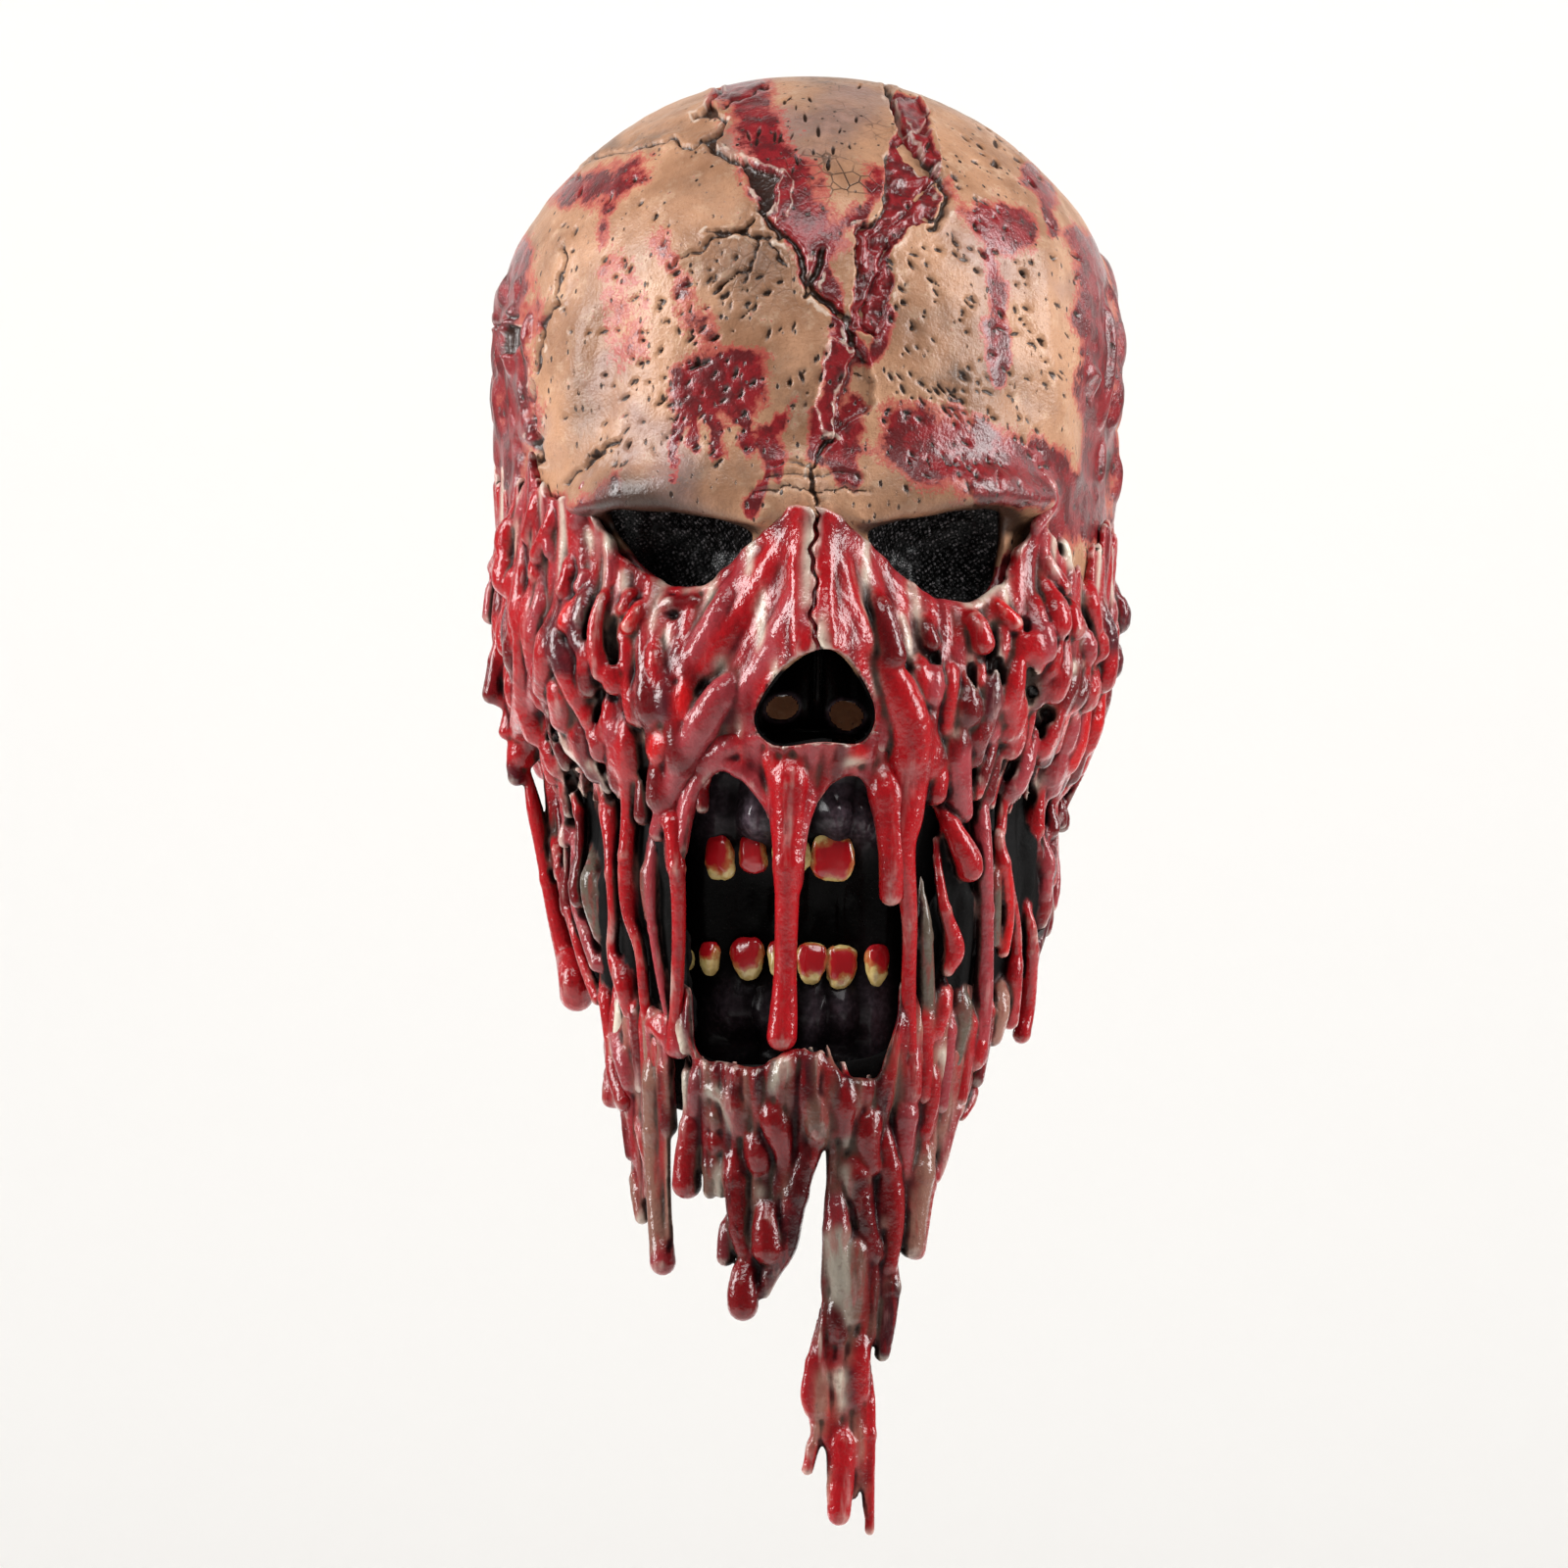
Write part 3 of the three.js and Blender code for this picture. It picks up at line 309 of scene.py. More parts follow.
# Drips seen from the front: paint, how far the layer stands off the head, and along each
# one x, drop and radius.
Drip = namedtuple("Drip", "paint lift points")
LEFT_DRIPS = (
    Drip("red", -1.5, ((-3, 146, 3), (-8, 156, 4), (-15, 168, 4.5), (-24, 180, 4.5), (-33, 192, 4))),
    Drip("pink", -1.5, ((-10, 152, 2.5), (-18, 164, 3.4), (-27, 176, 3.6), (-37, 190, 3.4))),
    Drip("cream", -0.8, ((-5, 156, 1.2), (-9, 169, 2.2), (-15, 182, 2.2), (-23, 194, 1.4))),
    Drip("pink", -1.4, ((-1, 160, 2.4), (-4, 174, 3.4), (-10, 187, 3.6), (-19, 200, 3.4), (-26, 210, 3))),
    Drip("cream", -0.4, ((-15, 156, 0.9), (-20, 161.5, 1.4), (-25, 167, 1.1))),
    Drip("red", 0.2, ((-2.6, 144, 2), (-2.4, 158, 2.4), (-2, 172, 2.5), (-1.8, 187, 2.3))),
    Drip("deep", -0.2, ((-17, 170, 2.2), (-25, 181, 3), (-33, 193, 3))),
    Drip("maroon", 0.2, ((-23, 170, 1.8), (-30, 178, 2.6), (-38, 187, 2.4))),
    Drip("pink", 1, ((-67.6, 130, 1.4), (-70, 137, 2.4), (-73.5, 146, 2))),
    Drip("cream", 0.2, ((-71, 141, 1.2), (-69, 149, 1.9), (-68, 157, 1.8))),
    Drip("pink", 1, ((-66, 149, 1.2), (-64.6, 156, 2), (-64, 165, 2.1))),
    Drip("cream", 1, ((-63, 157, 1.1), (-61, 163.5, 1.8), (-59.5, 169, 1.5))),
    Drip("deep", 1, ((-52, 169, 1.6), (-48, 173, 2.6), (-44, 174, 2.6), (-38, 173, 2.2))),
    Drip("cream", 2.5, ((-81, 210, 2.6), (-75, 215, 4.2), (-69, 221, 3.6))),
    Drip("cream", 2.5, ((-68, 223, 2), (-62, 226.5, 2.8), (-59, 231, 2))),
    Drip("red", 2, ((-79, 136, 1.8), (-82, 146, 2.6), (-86, 156, 3))),
    Drip("pink", 1, ((-92, 130, 1.4), (-93, 140, 2.2), (-95, 149, 1.8))),
    Drip("red", 1.4, ((-87, 128, 1.6), (-88, 140, 2.4), (-90, 150, 2.6))),
    Drip("pink", 1.4, ((-97, 138, 1.4), (-99, 150, 2.2), (-100, 160, 2.4))),
    Drip("red", 0, ((-16, 207, 2), (-19, 214, 2.6), (-26, 219, 2.8))),
    Drip("red", 2, ((-96, 151, 2.6), (-100.5, 159, 3.2))),
    Drip("red", 2, ((-92, 159, 2.6), (-95, 167, 3.2))),
    Drip("pink", 1, ((-102, 162, 2), (-102.5, 174, 2.8))),
    Drip("deep", 1, ((-98, 170, 2.8), (-100.5, 190, 3.4), (-102.5, 197, 3.2))),
    Drip("red", 2, ((-96, 170, 2.4), (-97, 190, 2.8), (-96, 204, 3))),
    Drip("red", 3, ((-87.5, 163, 2.6), (-89, 176, 3.6), (-90, 195, 4.4), (-92.5, 216, 5.4))),
    Drip("pink", 2, ((-83.5, 157, 2.6), (-84, 175, 3.2), (-86, 195, 3.2), (-89, 208, 3.6))),
    Drip("red", 1, ((-102, 194, 2.4), (-99, 199, 3))),
    Drip("red", 1, ((-97, 204, 2), (-98, 208, 2.8))),
    Drip("maroon", 1, ((-96, 215, 2.2), (-95, 222, 3))),
    Drip("red", 3, ((-80, 169, 2.4), (-79, 185, 4.8), (-82.5, 196, 4.6))),
    Drip("red", 2, ((-76.5, 189, 3), (-76.5, 197, 5.6), (-77, 206, 5.4))),
    Drip("red", 3, ((-62.5, 160, 1.8), (-65, 176, 2.6), (-63.5, 192, 3.2))),
    Drip("pink", 1, ((-72, 171, 2.4), (-70, 189, 2.6), (-69, 205, 3.6))),
    Drip("red", 2, ((-62, 193, 2.4), (-62, 205, 3), (-65.5, 217, 4.4))),
    Drip("red", 2, ((-56.5, 196, 1.8), (-56.5, 216, 4.2), (-57, 233, 3.2), (-57.5, 256, 2.4),
                    (-56, 269, 2.2), (-52, 281, 2), (-50, 300, 1.8), (-45, 303, 1.6))),
    Drip("red", 2, ((-46, 180, 2.4), (-47.5, 189, 3.4), (-46, 197, 4))),
    Drip("maroon", 1, ((-40.5, 180, 2.2), (-40, 188, 3), (-42, 197, 3))),
    Drip("red", 2, ((-58, 167, 1.8), (-58.5, 175, 2.4))),
    Drip("wet", 2, ((-53, 171, 2), (-56, 180, 2.8))),
    Drip("cream", 1, ((-55, 167, 1), (-48, 169.6, 1.4), (-40, 170.2, 1.4), (-33, 168, 1))),
    Drip("red", 2, ((-28.5, 170, 2), (-30, 177, 2.6), (-29.5, 184, 2.8))),
    Drip("pink", 1, ((-18, 190, 3), (-27, 202, 5.4), (-36, 215.5, 5.8), (-42, 229, 4.4), (-46.5, 243, 3.2))),
    Drip("pink", 1, ((-21, 158, 2.4), (-27, 174, 4), (-35, 188, 3.6), (-46.5, 202, 2.6))),
    Drip("red", 1, ((-46, 202, 2.2), (-46, 216, 3), (-46.5, 233, 2.6))),
    Drip("red", 1, ((-34, 190, 2), (-40, 203, 2.4), (-44, 222, 2))),
    Drip("red", 2, ((-75, 154, 2.2), (-76.5, 168, 3))),
    Drip("pink", 2, ((-70, 160, 1.6), (-72, 167, 2.2))),
    Drip("pink", 2, ((-82.5, 148, 2), (-82, 155, 2.4))),
    Drip("red", 1, ((-78.5, 221, 2.4), (-78.5, 232, 3.2))),
    Drip("pink", 1, ((-70, 186, 2), (-71.5, 203, 2.4), (-73, 214, 2.6))),
    Drip("red", 2, ((-92, 219, 3.4), (-87.3, 242, 2.6), (-81.6, 269, 3), (-75.5, 288, 5.2),
                    (-74.5, 295, 5.6))),
    Drip("red", 2, ((-85.4, 217, 2.4), (-83.5, 230, 2.2), (-81.6, 246, 2.2), (-78, 265, 2),
                    (-74.3, 275, 2.4), (-71.7, 285, 2), (-66.7, 296, 2.4))),
    Drip("pink", 1, ((-76, 228, 3), (-76, 252, 2), (-75, 265, 2), (-71, 275, 2.6), (-66.7, 285, 3))),
    Drip("red", 2, ((-70, 232, 3.6), (-66.7, 236, 4), (-64, 252, 2.4), (-61.3, 269, 2), (-61.3, 281, 2.2),
                    (-57.5, 291, 3.4), (-56, 300, 2.2))),
    Drip("pink", 1, ((-49, 240, 4), (-48.6, 265, 1.8), (-47.3, 278, 1.7), (-44.4, 294, 1.7),
                     (-42, 304, 1.6))),
    Drip("red", 2, ((-44, 236, 4.6), (-41.3, 243, 3.2), (-39.5, 265, 2.4), (-40, 294, 2.2),
                    (-40.6, 312, 2.6))),
    Drip("olive", 0, ((-72, 246, 2.4), (-69.5, 262, 4.4), (-66, 276, 2.6))),
    Drip("soot", -3, ((-58, 232, 3), (-55, 262, 4), (-54, 290, 3))),
    Drip("soot", -3, ((-66, 240, 3), (-63, 268, 3.6), (-61, 296, 3))),
    Drip("olive", 0, ((-49.5, 246, 2), (-50, 258, 2.6), (-49, 270, 2))),
    Drip("red", 3, ((-61.5, 303, 2), (-61, 318, 3), (-57, 329, 3.6))),
    Drip("cream", 1, ((-60, 286, 2), (-58.5, 300, 2.6), (-59.5, 312, 2.8))),
    Drip("pink", 1, ((-40.5, 300, 2.4), (-38.5, 312, 3.2))),
    Drip("red", 1, ((-66, 284, 2.4), (-63, 300, 3), (-60, 318, 3.4))),
    Drip("deep", 0, ((-54, 288, 2.6), (-52.5, 304, 3.4), (-51, 324, 3.4))),
    Drip("tan", 0, ((-49, 292, 2.6), (-48, 308, 3.4), (-47, 326, 3.4))),
    Drip("red", 1, ((-45.6, 296, 2.2), (-45.6, 310, 2.6), (-45.4, 322, 2.4))),
)
RIGHT_DRIPS = (
    Drip("red", -1.5, ((5, 147, 2.6), (8, 160, 3.4), (11, 172, 3.6), (15, 184, 3.2))),
    Drip("cream", -0.6, ((8, 164, 1.2), (12, 175, 2.6), (17, 186, 2.8), (21, 195, 1.6))),
    Drip("pink", -1.4, ((10, 150, 2), (16, 160, 3), (22, 174, 3.4), (27, 190, 3.2))),
    Drip("red", 0.2, ((4, 145, 2), (4.4, 160, 2.4), (4.8, 174, 2.5), (5.4, 188, 2.3))),
    Drip("red", -1.2, ((18, 190, 2.4), (22, 200, 3.2), (26, 208, 3))),
    Drip("pink", 0, ((20, 196, 2), (23, 207, 2.8), (22, 216, 3))),
    Drip("pink", 1, ((70, 128, 1.6), (75, 133, 2.6), (77, 140, 2.4), (73, 147, 2))),
    Drip("cream", 0.2, ((79.4, 148, 1.4), (81.6, 155, 2.4), (82.6, 162, 1.8))),
    Drip("cream", 1, ((24, 168, 1.4), (29, 178, 2), (31, 190, 1.8))),
    Drip("deep", 3, ((20, 160, 2.4), (20.6, 177, 4.2), (24, 189.5, 4.8))),
    Drip("deep", 2, ((37, 172, 2.2), (37.8, 181, 2.8), (39, 185.5, 3))),
    Drip("red", 2, ((48.6, 175, 2.6), (53.3, 179, 3.6), (54.6, 185, 4))),
    Drip("red", 2, ((34, 184, 2.6), (34.3, 194, 4), (35, 200.5, 4))),
    Drip("red", 1, ((42.5, 186, 3), (43.8, 196, 3.6), (42.5, 211, 3.4))),
    Drip("red", 2, ((53.3, 185, 2.4), (53.3, 194, 2.2), (53.3, 203, 2.4))),
    Drip("red", 3, ((62.2, 185, 2.4), (63.5, 194, 4), (62.8, 205, 4))),
    Drip("red", 3, ((67, 176, 2.8), (68.3, 183.5, 3.2), (69, 187.5, 3.4))),
    Drip("wet", 2, ((58, 170, 1.6), (61, 174.5, 2.6), (64, 179, 2.8))),
    Drip("red", 2, ((69.8, 163, 2.2), (71, 174, 2.6), (70.5, 179, 2.8))),
    Drip("red", 3, ((73, 150, 1.8), (77, 160, 2.4), (80, 167, 3.2))),
    Drip("red", 2, ((80.6, 169, 3), (81.3, 179.5, 4.4))),
    Drip("red", 2, ((74.6, 165, 2.6), (75.2, 178, 3.4))),
    Drip("red", 2, ((89.5, 160, 2.6), (89.5, 170, 3.4), (90.8, 183, 3.4))),
    Drip("red", 2, ((98.4, 167, 2.4), (97.8, 181, 3.2), (95.5, 191, 3.4))),
    Drip("red", 3, ((91.4, 188, 3.6), (89, 196, 5), (88.3, 200, 4.8))),
    Drip("red", 2, ((83.5, 188, 2.6), (82.5, 198, 3), (84, 205.5, 3))),
    Drip("pink", 2, ((79.4, 207, 3), (77, 213, 3.8))),
    Drip("red", 2, ((85.4, 208, 2.6), (86.7, 218, 4.4), (84, 225, 3.6), (80, 232, 2.6))),
    Drip("red", 2, ((93, 194, 2.4), (90.8, 208, 3))),
    Drip("red", 2, ((71, 196, 3), (69.8, 208, 2.4), (68.3, 220, 2.2), (65, 232, 2.2), (64, 242, 2),
                    (62.2, 249, 2.2), (66, 276, 2), (64, 300, 2.4))),
    Drip("pink", 0.4, ((46, 204, 3), (46, 214, 5), (45.7, 225, 5.8), (48, 237, 4))),
    Drip("red", 2, ((36.8, 231, 3), (43.2, 239, 3.2), (48.5, 250, 4.6), (49.5, 254, 4.6))),
    Drip("pink", 2, ((55, 219, 3.4), (55, 252, 3), (55.2, 276, 2.8), (54.3, 297, 3.4), (52, 314, 4))),
    Drip("red", 1, ((18, 182, 2.4), (22.3, 192, 4.4), (27.3, 201, 6.2), (31.4, 215, 7), (30, 236, 6),
                    (28.5, 248, 4.4), (30.8, 270, 2.6), (30.5, 290, 2.4), (30, 314, 3))),
    Drip("cream", 1, ((16, 156, 1), (22, 161.5, 1.4), (29, 167, 1.3), (36, 172, 1))),
    Drip("cream", 1, ((41, 174, 1), (48, 175, 1.4), (55, 174, 1.4), (62, 168, 1.1))),
    Drip("pink", 2, ((61.6, 207, 2.4), (64, 212, 2.6), (63.5, 218, 2.6))),
    Drip("cream", 2, ((72, 189, 2), (78, 191.5, 1.8), (86, 189.5, 2))),
    Drip("red", 2, ((39.7, 246, 2.4), (41.3, 265, 2), (44.8, 279, 3.4), (42.5, 286, 2.6))),
    Drip("wet", 2, ((60.3, 243, 2.2), (62.5, 252, 2.4), (63.2, 269, 2.4), (61.3, 281, 2.2))),
    Drip("red", 2, ((68.6, 262, 2), (71.5, 276, 2.2), (70.8, 296, 2.6), (68.6, 308, 3))),
    Drip("maroon", 2, ((89.5, 223, 2.4), (81.3, 238, 2), (78.4, 255, 2.2), (75.6, 272, 2.4),
                       (72, 283, 2.2))),
    Drip("olive", 0, ((60, 246, 2), (59, 262, 2.6), (58.5, 278, 2.2))),
    Drip("olive", 0, ((35, 258, 2), (35.5, 280, 3), (36, 306, 3.4))),
    Drip("soot", -3, ((74, 226, 3), (71, 256, 4), (68, 286, 3))),
    Drip("soot", -3, ((45, 250, 3), (48, 270, 3.4), (46, 292, 3.4))),
    Drip("olive", 0, ((46, 286, 3), (47, 300, 4), (44, 316, 3.6))),
    Drip("red", 2, ((41, 284, 2.2), (41, 296, 3.4), (38.5, 306, 3))),
    Drip("tan", 1, ((61, 284, 3), (60, 298, 4), (58, 308, 3.4))),
    Drip("red", 2, ((66, 270, 2), (65, 290, 3), (64, 303, 3))),
    Drip("deep", 0, ((56, 286, 2.6), (55, 304, 3.4), (52, 322, 3.2))),
    Drip("red", 1, ((50, 290, 2.4), (49, 308, 3.2), (46, 328, 3.4))),
    Drip("pink", 1, ((44, 292, 2.4), (42, 310, 3.2), (40, 330, 3))),
    Drip("red", 1, ((35, 288, 2.2), (35, 306, 3), (34, 326, 3.4))),
)
LIP_DRIPS = (
    Drip("red", 1, ((-5.2, 217, 7), (-5.6, 228, 6), (-6, 246, 4.4), (-6.3, 262, 3.9), (-6.8, 285, 3.6),
                    (-7.2, 300, 4.4), (-7.4, 309, 4.8))),
    Drip("red", 1, ((21, 217, 5), (24, 230, 5.4), (25.3, 246, 4.4), (25, 262, 3.8))),
    Drip("pink", 1.4, ((-12, 240, 1.6), (-14, 233, 2), (-19, 226, 2.2), (-26, 222.4, 2.2), (-32, 225, 2.2),
                       (-36.4, 233, 2.2), (-39, 248, 2))),
    Drip("cream", 1.6, ((2.5, 233, 1), (4.5, 226.5, 1.3), (8.5, 222, 1.5), (13, 220.3, 1.5),
                        (18, 220, 1.2))),
    Drip("pink", 1, ((-15, 214, 3), (-24, 217, 3), (-33, 222, 3))),
    Drip("wet", 1.6, ((-12, 214, 2), (-10.5, 222, 2.8), (-9, 231, 2))),
    Drip("cream", 1.6, ((-1.5, 215, 1.2), (-1.8, 222, 1.5), (-2.6, 230, 1))),
    Drip("wet", 1.6, ((20, 214, 2.4), (16, 218, 2.2), (12, 219, 1.6))),
)
CHIN_DRIPS = (
    Drip("red", 2, ((-63, 316, 2), (-62.6, 324, 2.8), (-62.4, 329, 3.1))),
    Drip("pink", 2.4, ((-62.5, 296, 2.6), (-59.5, 308, 3.6), (-56.5, 317, 3.9), (-55, 323, 3.4))),
    Drip("deep", 2.6, ((-57.5, 326, 1.4), (-56.8, 336, 2), (-55.6, 347, 1.8))),
    Drip("cream", 2.8, ((-57.2, 323, 1.2), (-56.4, 329, 1.4), (-55.2, 336, 1))),
    Drip("red", 2.6, ((-53, 329, 2), (-51, 339, 2.8), (-48.4, 351, 2))),
    Drip("tan", 2.2, ((-48, 306, 3), (-47.4, 320, 3.8), (-47.5, 334, 3.4), (-47.4, 348, 3),
                      (-46.8, 360, 3.2), (-45.6, 372, 3.6), (-44.5, 380, 3.8))),
    Drip("pink", 3, ((-45, 373, 2.6), (-44.4, 381, 3.9))),
    Drip("tan", 1.6, ((-55, 344, 2.2), (-53.4, 357, 2.6), (-51.8, 367, 2.4))),
    Drip("cream", 3, ((-47.6, 340, 0.9), (-46.6, 347, 1.5), (-47, 354, 1))),
    Drip("deep", 1.6, ((-44.2, 304, 2.2), (-43.4, 316, 2.6), (-42.8, 328, 2.8), (-42.4, 337, 2.8))),
    Drip("red", 2, ((-52, 299, 2.4), (-47, 304, 2.6), (-43, 308, 2.4))),
    Drip("cream", 2, ((-39.6, 290, 1.6), (-38.6, 304, 2), (-36.8, 312, 1.9))),
    Drip("cream", 2, ((-36.8, 314, 1.7), (-35.6, 322, 1.9), (-35.6, 331, 1.5))),
    Drip("red", 2.4, ((-34.6, 321, 2), (-35, 334, 3.2), (-36.2, 346, 4.2), (-36.5, 355.5, 4.8))),
    Drip("pink", 2, ((-32, 315.5, 2.6), (-31.6, 322, 3.2), (-33, 330, 2.6))),
    Drip("cream", 3.2, ((-30.8, 336, 1.4), (-31, 329, 1.7), (-29.4, 325, 1.9), (-26.6, 323.8, 2),
                        (-23.6, 325.2, 1.9), (-21.6, 329, 1.7), (-21, 335, 1.3))),
    Drip("tan", 2.6, ((-26.3, 328, 2.4), (-26.3, 334, 2.4))),
    Drip("red", 2.8, ((-27, 337, 2), (-26.8, 341.5, 2.6))),
    Drip("tan", 2.2, ((-29.6, 341, 1.9), (-29.2, 350, 2.4), (-29.4, 358, 2.2))),
    Drip("cream", 2.2, ((-26, 343, 1.7), (-25.8, 350, 2.2), (-25.9, 358, 1.9))),
    Drip("red", 2.4, ((-21, 317, 2.6), (-19.8, 326, 3.2), (-18.6, 335, 2.4))),
    Drip("cream", 3.6, ((-18.2, 325, 0.9), (-17.4, 329, 1.3))),
    Drip("deep", 2.2, ((-21.8, 334, 2.4), (-21.6, 346, 3.4), (-21.3, 358, 3.6), (-20.6, 368, 3.2),
                       (-19.6, 376, 2.2))),
    Drip("red", 2.6, ((-16.2, 328, 2), (-15.2, 337, 3.3), (-14.4, 344, 4.2), (-14.2, 348, 3.8))),
    Drip("cream", 2.6, ((-14.6, 352, 1.3), (-13.4, 357, 1.9), (-13.6, 361, 1.1))),
    Drip("red", 2.6, ((-11.4, 318, 2.8), (-10, 326, 4.2), (-8.6, 334, 4.4), (-7.4, 342, 3.3),
                      (-6.2, 349.5, 1.8))),
    Drip("cream", 2.8, ((-3, 313, 1.9), (-6.3, 317.5, 2.6), (-8.8, 323, 1.6))),
    Drip("red", 3.2, ((-10.8, 352, 1.5), (-11.8, 361, 3), (-12.2, 369, 4.4), (-11.8, 375.5, 4.8))),
    Drip("red", 3, ((-18.9, 372, 1.5), (-19, 381, 3.5), (-19.2, 389, 4.8), (-19, 393.5, 4.9))),
    Drip("pink", 1.5, ((-23.6, 363, 2), (-24.4, 371, 2.7), (-24.6, 378.5, 2.9))),
    Drip("maroon", 1.4, ((3, 328, 3.4), (1.6, 340, 3.6), (-2.3, 353.4, 3.7), (-4.7, 365.6, 3.6),
                         (-6.3, 375, 3.3), (-10.6, 383, 2.8), (-13.2, 389, 2.4))),
    Drip("cream", 2.8, ((-6.6, 346, 1), (-7.6, 352, 1.4), (-9, 358, 1.1))),
    Drip("tan", 2, ((0.5, 313, 3.2), (1.2, 324, 4.2), (2.2, 333, 4.2), (3, 338.5, 2.8))),
    Drip("cream", 3.4, ((-1.6, 315, 1), (-0.6, 322, 1.3), (0.6, 331, 1))),
    Drip("tan", 2, ((5.2, 312, 2), (5.4, 321, 2.5), (5.2, 331, 2.2))),
    Drip("red", 2.2, ((9.4, 317, 3.2), (9.2, 326, 3.8), (9.4, 335, 2.8))),
    Drip("red", 2.8, ((17.4, 321, 3), (16.8, 331, 4.2), (17, 341, 4), (18.6, 349, 3.2))),
    Drip("red", 2.6, ((21, 324, 2.4), (22, 338, 3), (24, 350, 3.4), (25.2, 360, 3.6), (25.4, 369, 3.2),
                      (24.4, 381, 2.4))),
    Drip("cream", 3.4, ((8.6, 326, 1.1), (10, 333, 1.8), (10.8, 341, 1.1))),
    Drip("cream", 3.2, ((11, 343, 1.1), (11.4, 350, 1.8), (11.9, 358, 1.3))),
    Drip("cream", 3.4, ((15, 345, 0.9), (16.4, 352, 1.5), (17.3, 359, 1))),
    Drip("deep", 1.8, ((13.5, 334, 3.2), (14, 350, 3.8), (16, 364, 3.6), (19, 377, 2.8))),
    Drip("cream", 3.4, ((22.7, 363, 0.9), (22.2, 368, 1.2))),
    Drip("cream", 3.4, ((20.8, 371, 0.9), (20.4, 378, 1.2))),
    Drip("cream", 1.6, ((7.6, 347, 2.2), (8.2, 361, 3.6), (8.6, 374, 4.2), (9.4, 386, 4), (10.4, 397, 3))),
    Drip("tan", 1.8, ((13.4, 362, 2.4), (13.6, 374, 3.6), (13.4, 386, 3.6), (13, 397, 2.6))),
    Drip("deep", 2.8, ((9.6, 377, 1.3), (8.4, 389, 2.5), (8.2, 398, 3), (8.8, 403, 2.7))),
    Drip("maroon", 2, ((25.6, 371, 2.4), (25.2, 386, 2.6), (23.8, 398, 2.7), (22, 409, 2.5))),
    Drip("red", 1.6, ((4.2, 393, 1.5), (1.4, 409, 1.7), (-0.6, 421, 1.9), (0.4, 427, 1.7))),
    Drip("tan", 1.8, ((4.4, 402, 1.8), (3.8, 414, 2.4), (3.6, 427, 2.4))),
    Drip("cream", 2.4, ((6.8, 404, 1), (8.6, 415, 2.4), (9.8, 427, 1))),
    Drip("red", 2.2, ((15.4, 396, 2.8), (15, 408, 3.4), (15.4, 421, 2.6))),
    Drip("maroon", 2, ((11.6, 402, 2), (12.4, 413, 2.8), (12.6, 424, 2.2))),
    Drip("red", 2, ((8.6, 424, 2), (10, 435, 3.4), (10, 447, 3.7), (9, 459.5, 3.7))),
    Drip("cream", 2.8, ((7.6, 446, 1.1), (7.4, 453, 1.9), (8, 458.5, 1.7))),
    Drip("tan", 2, ((14.6, 417, 1.2), (15, 432, 1.6), (14.8, 445, 1.5), (13.6, 454, 1))),
    Drip("red", 1.8, ((18.6, 409, 1.4), (18.6, 430, 1.6), (18.4, 450, 1.5), (18.2, 465, 1.6))),
    Drip("cream", 1.6, ((1.8, 428, 1.5), (2.4, 434, 1.4))),
    Drip("red", 1.6, ((3.4, 432, 1.6), (1.4, 439, 1.9), (-0.2, 445.5, 1.9))),
    Drip("pink", 1.6, ((28.4, 314, 3), (28.4, 330, 4), (28, 342, 3.8), (28.6, 352, 2.2))),
    Drip("red", 2.4, ((31, 302, 2.2), (31, 312, 2.6), (30, 320, 3.4), (30, 325, 3.4))),
    Drip("red", 2.4, ((33.6, 312, 1.8), (36.4, 318, 2.8), (36.8, 328, 2.9), (35, 338, 2.2))),
    Drip("cream", 1.6, ((33, 336, 1.4), (32.4, 348, 1.8), (30.4, 360, 1.2))),
    Drip("tan", 1.6, ((37, 330, 3.4), (34.6, 350, 4), (32.4, 364, 3.8), (31, 375, 4))),
    Drip("red", 2.2, ((40.4, 338, 1.6), (37.4, 354, 1.8), (35, 368, 2), (32.8, 377, 2.6))),
    Drip("cream", 2, ((38, 300, 1.6), (39.6, 311, 2.2), (40, 320, 1.6))),
    Drip("tan", 2, ((44, 298, 1.5), (44.4, 312, 1.8), (42.4, 326, 1.6), (39.6, 338, 1.2))),
    Drip("maroon", 2, ((48, 298, 1.6), (47.6, 312, 1.8), (45, 326, 1.6))),
    Drip("red", 2.6, ((54.6, 296, 2), (53, 308, 3.4), (51.4, 315.5, 3.4))),
    Drip("pink", 2, ((54, 316, 1.6), (49, 324, 2), (44, 336, 2.2), (41, 348, 2), (39.4, 354, 1.4))),
    Drip("red", 1.6, ((52.4, 320, 1.6), (51, 328, 2), (47.6, 334, 1.6))),
    Drip("cream", 1.6, ((60, 300, 1.8), (59, 307, 1.8))),
)

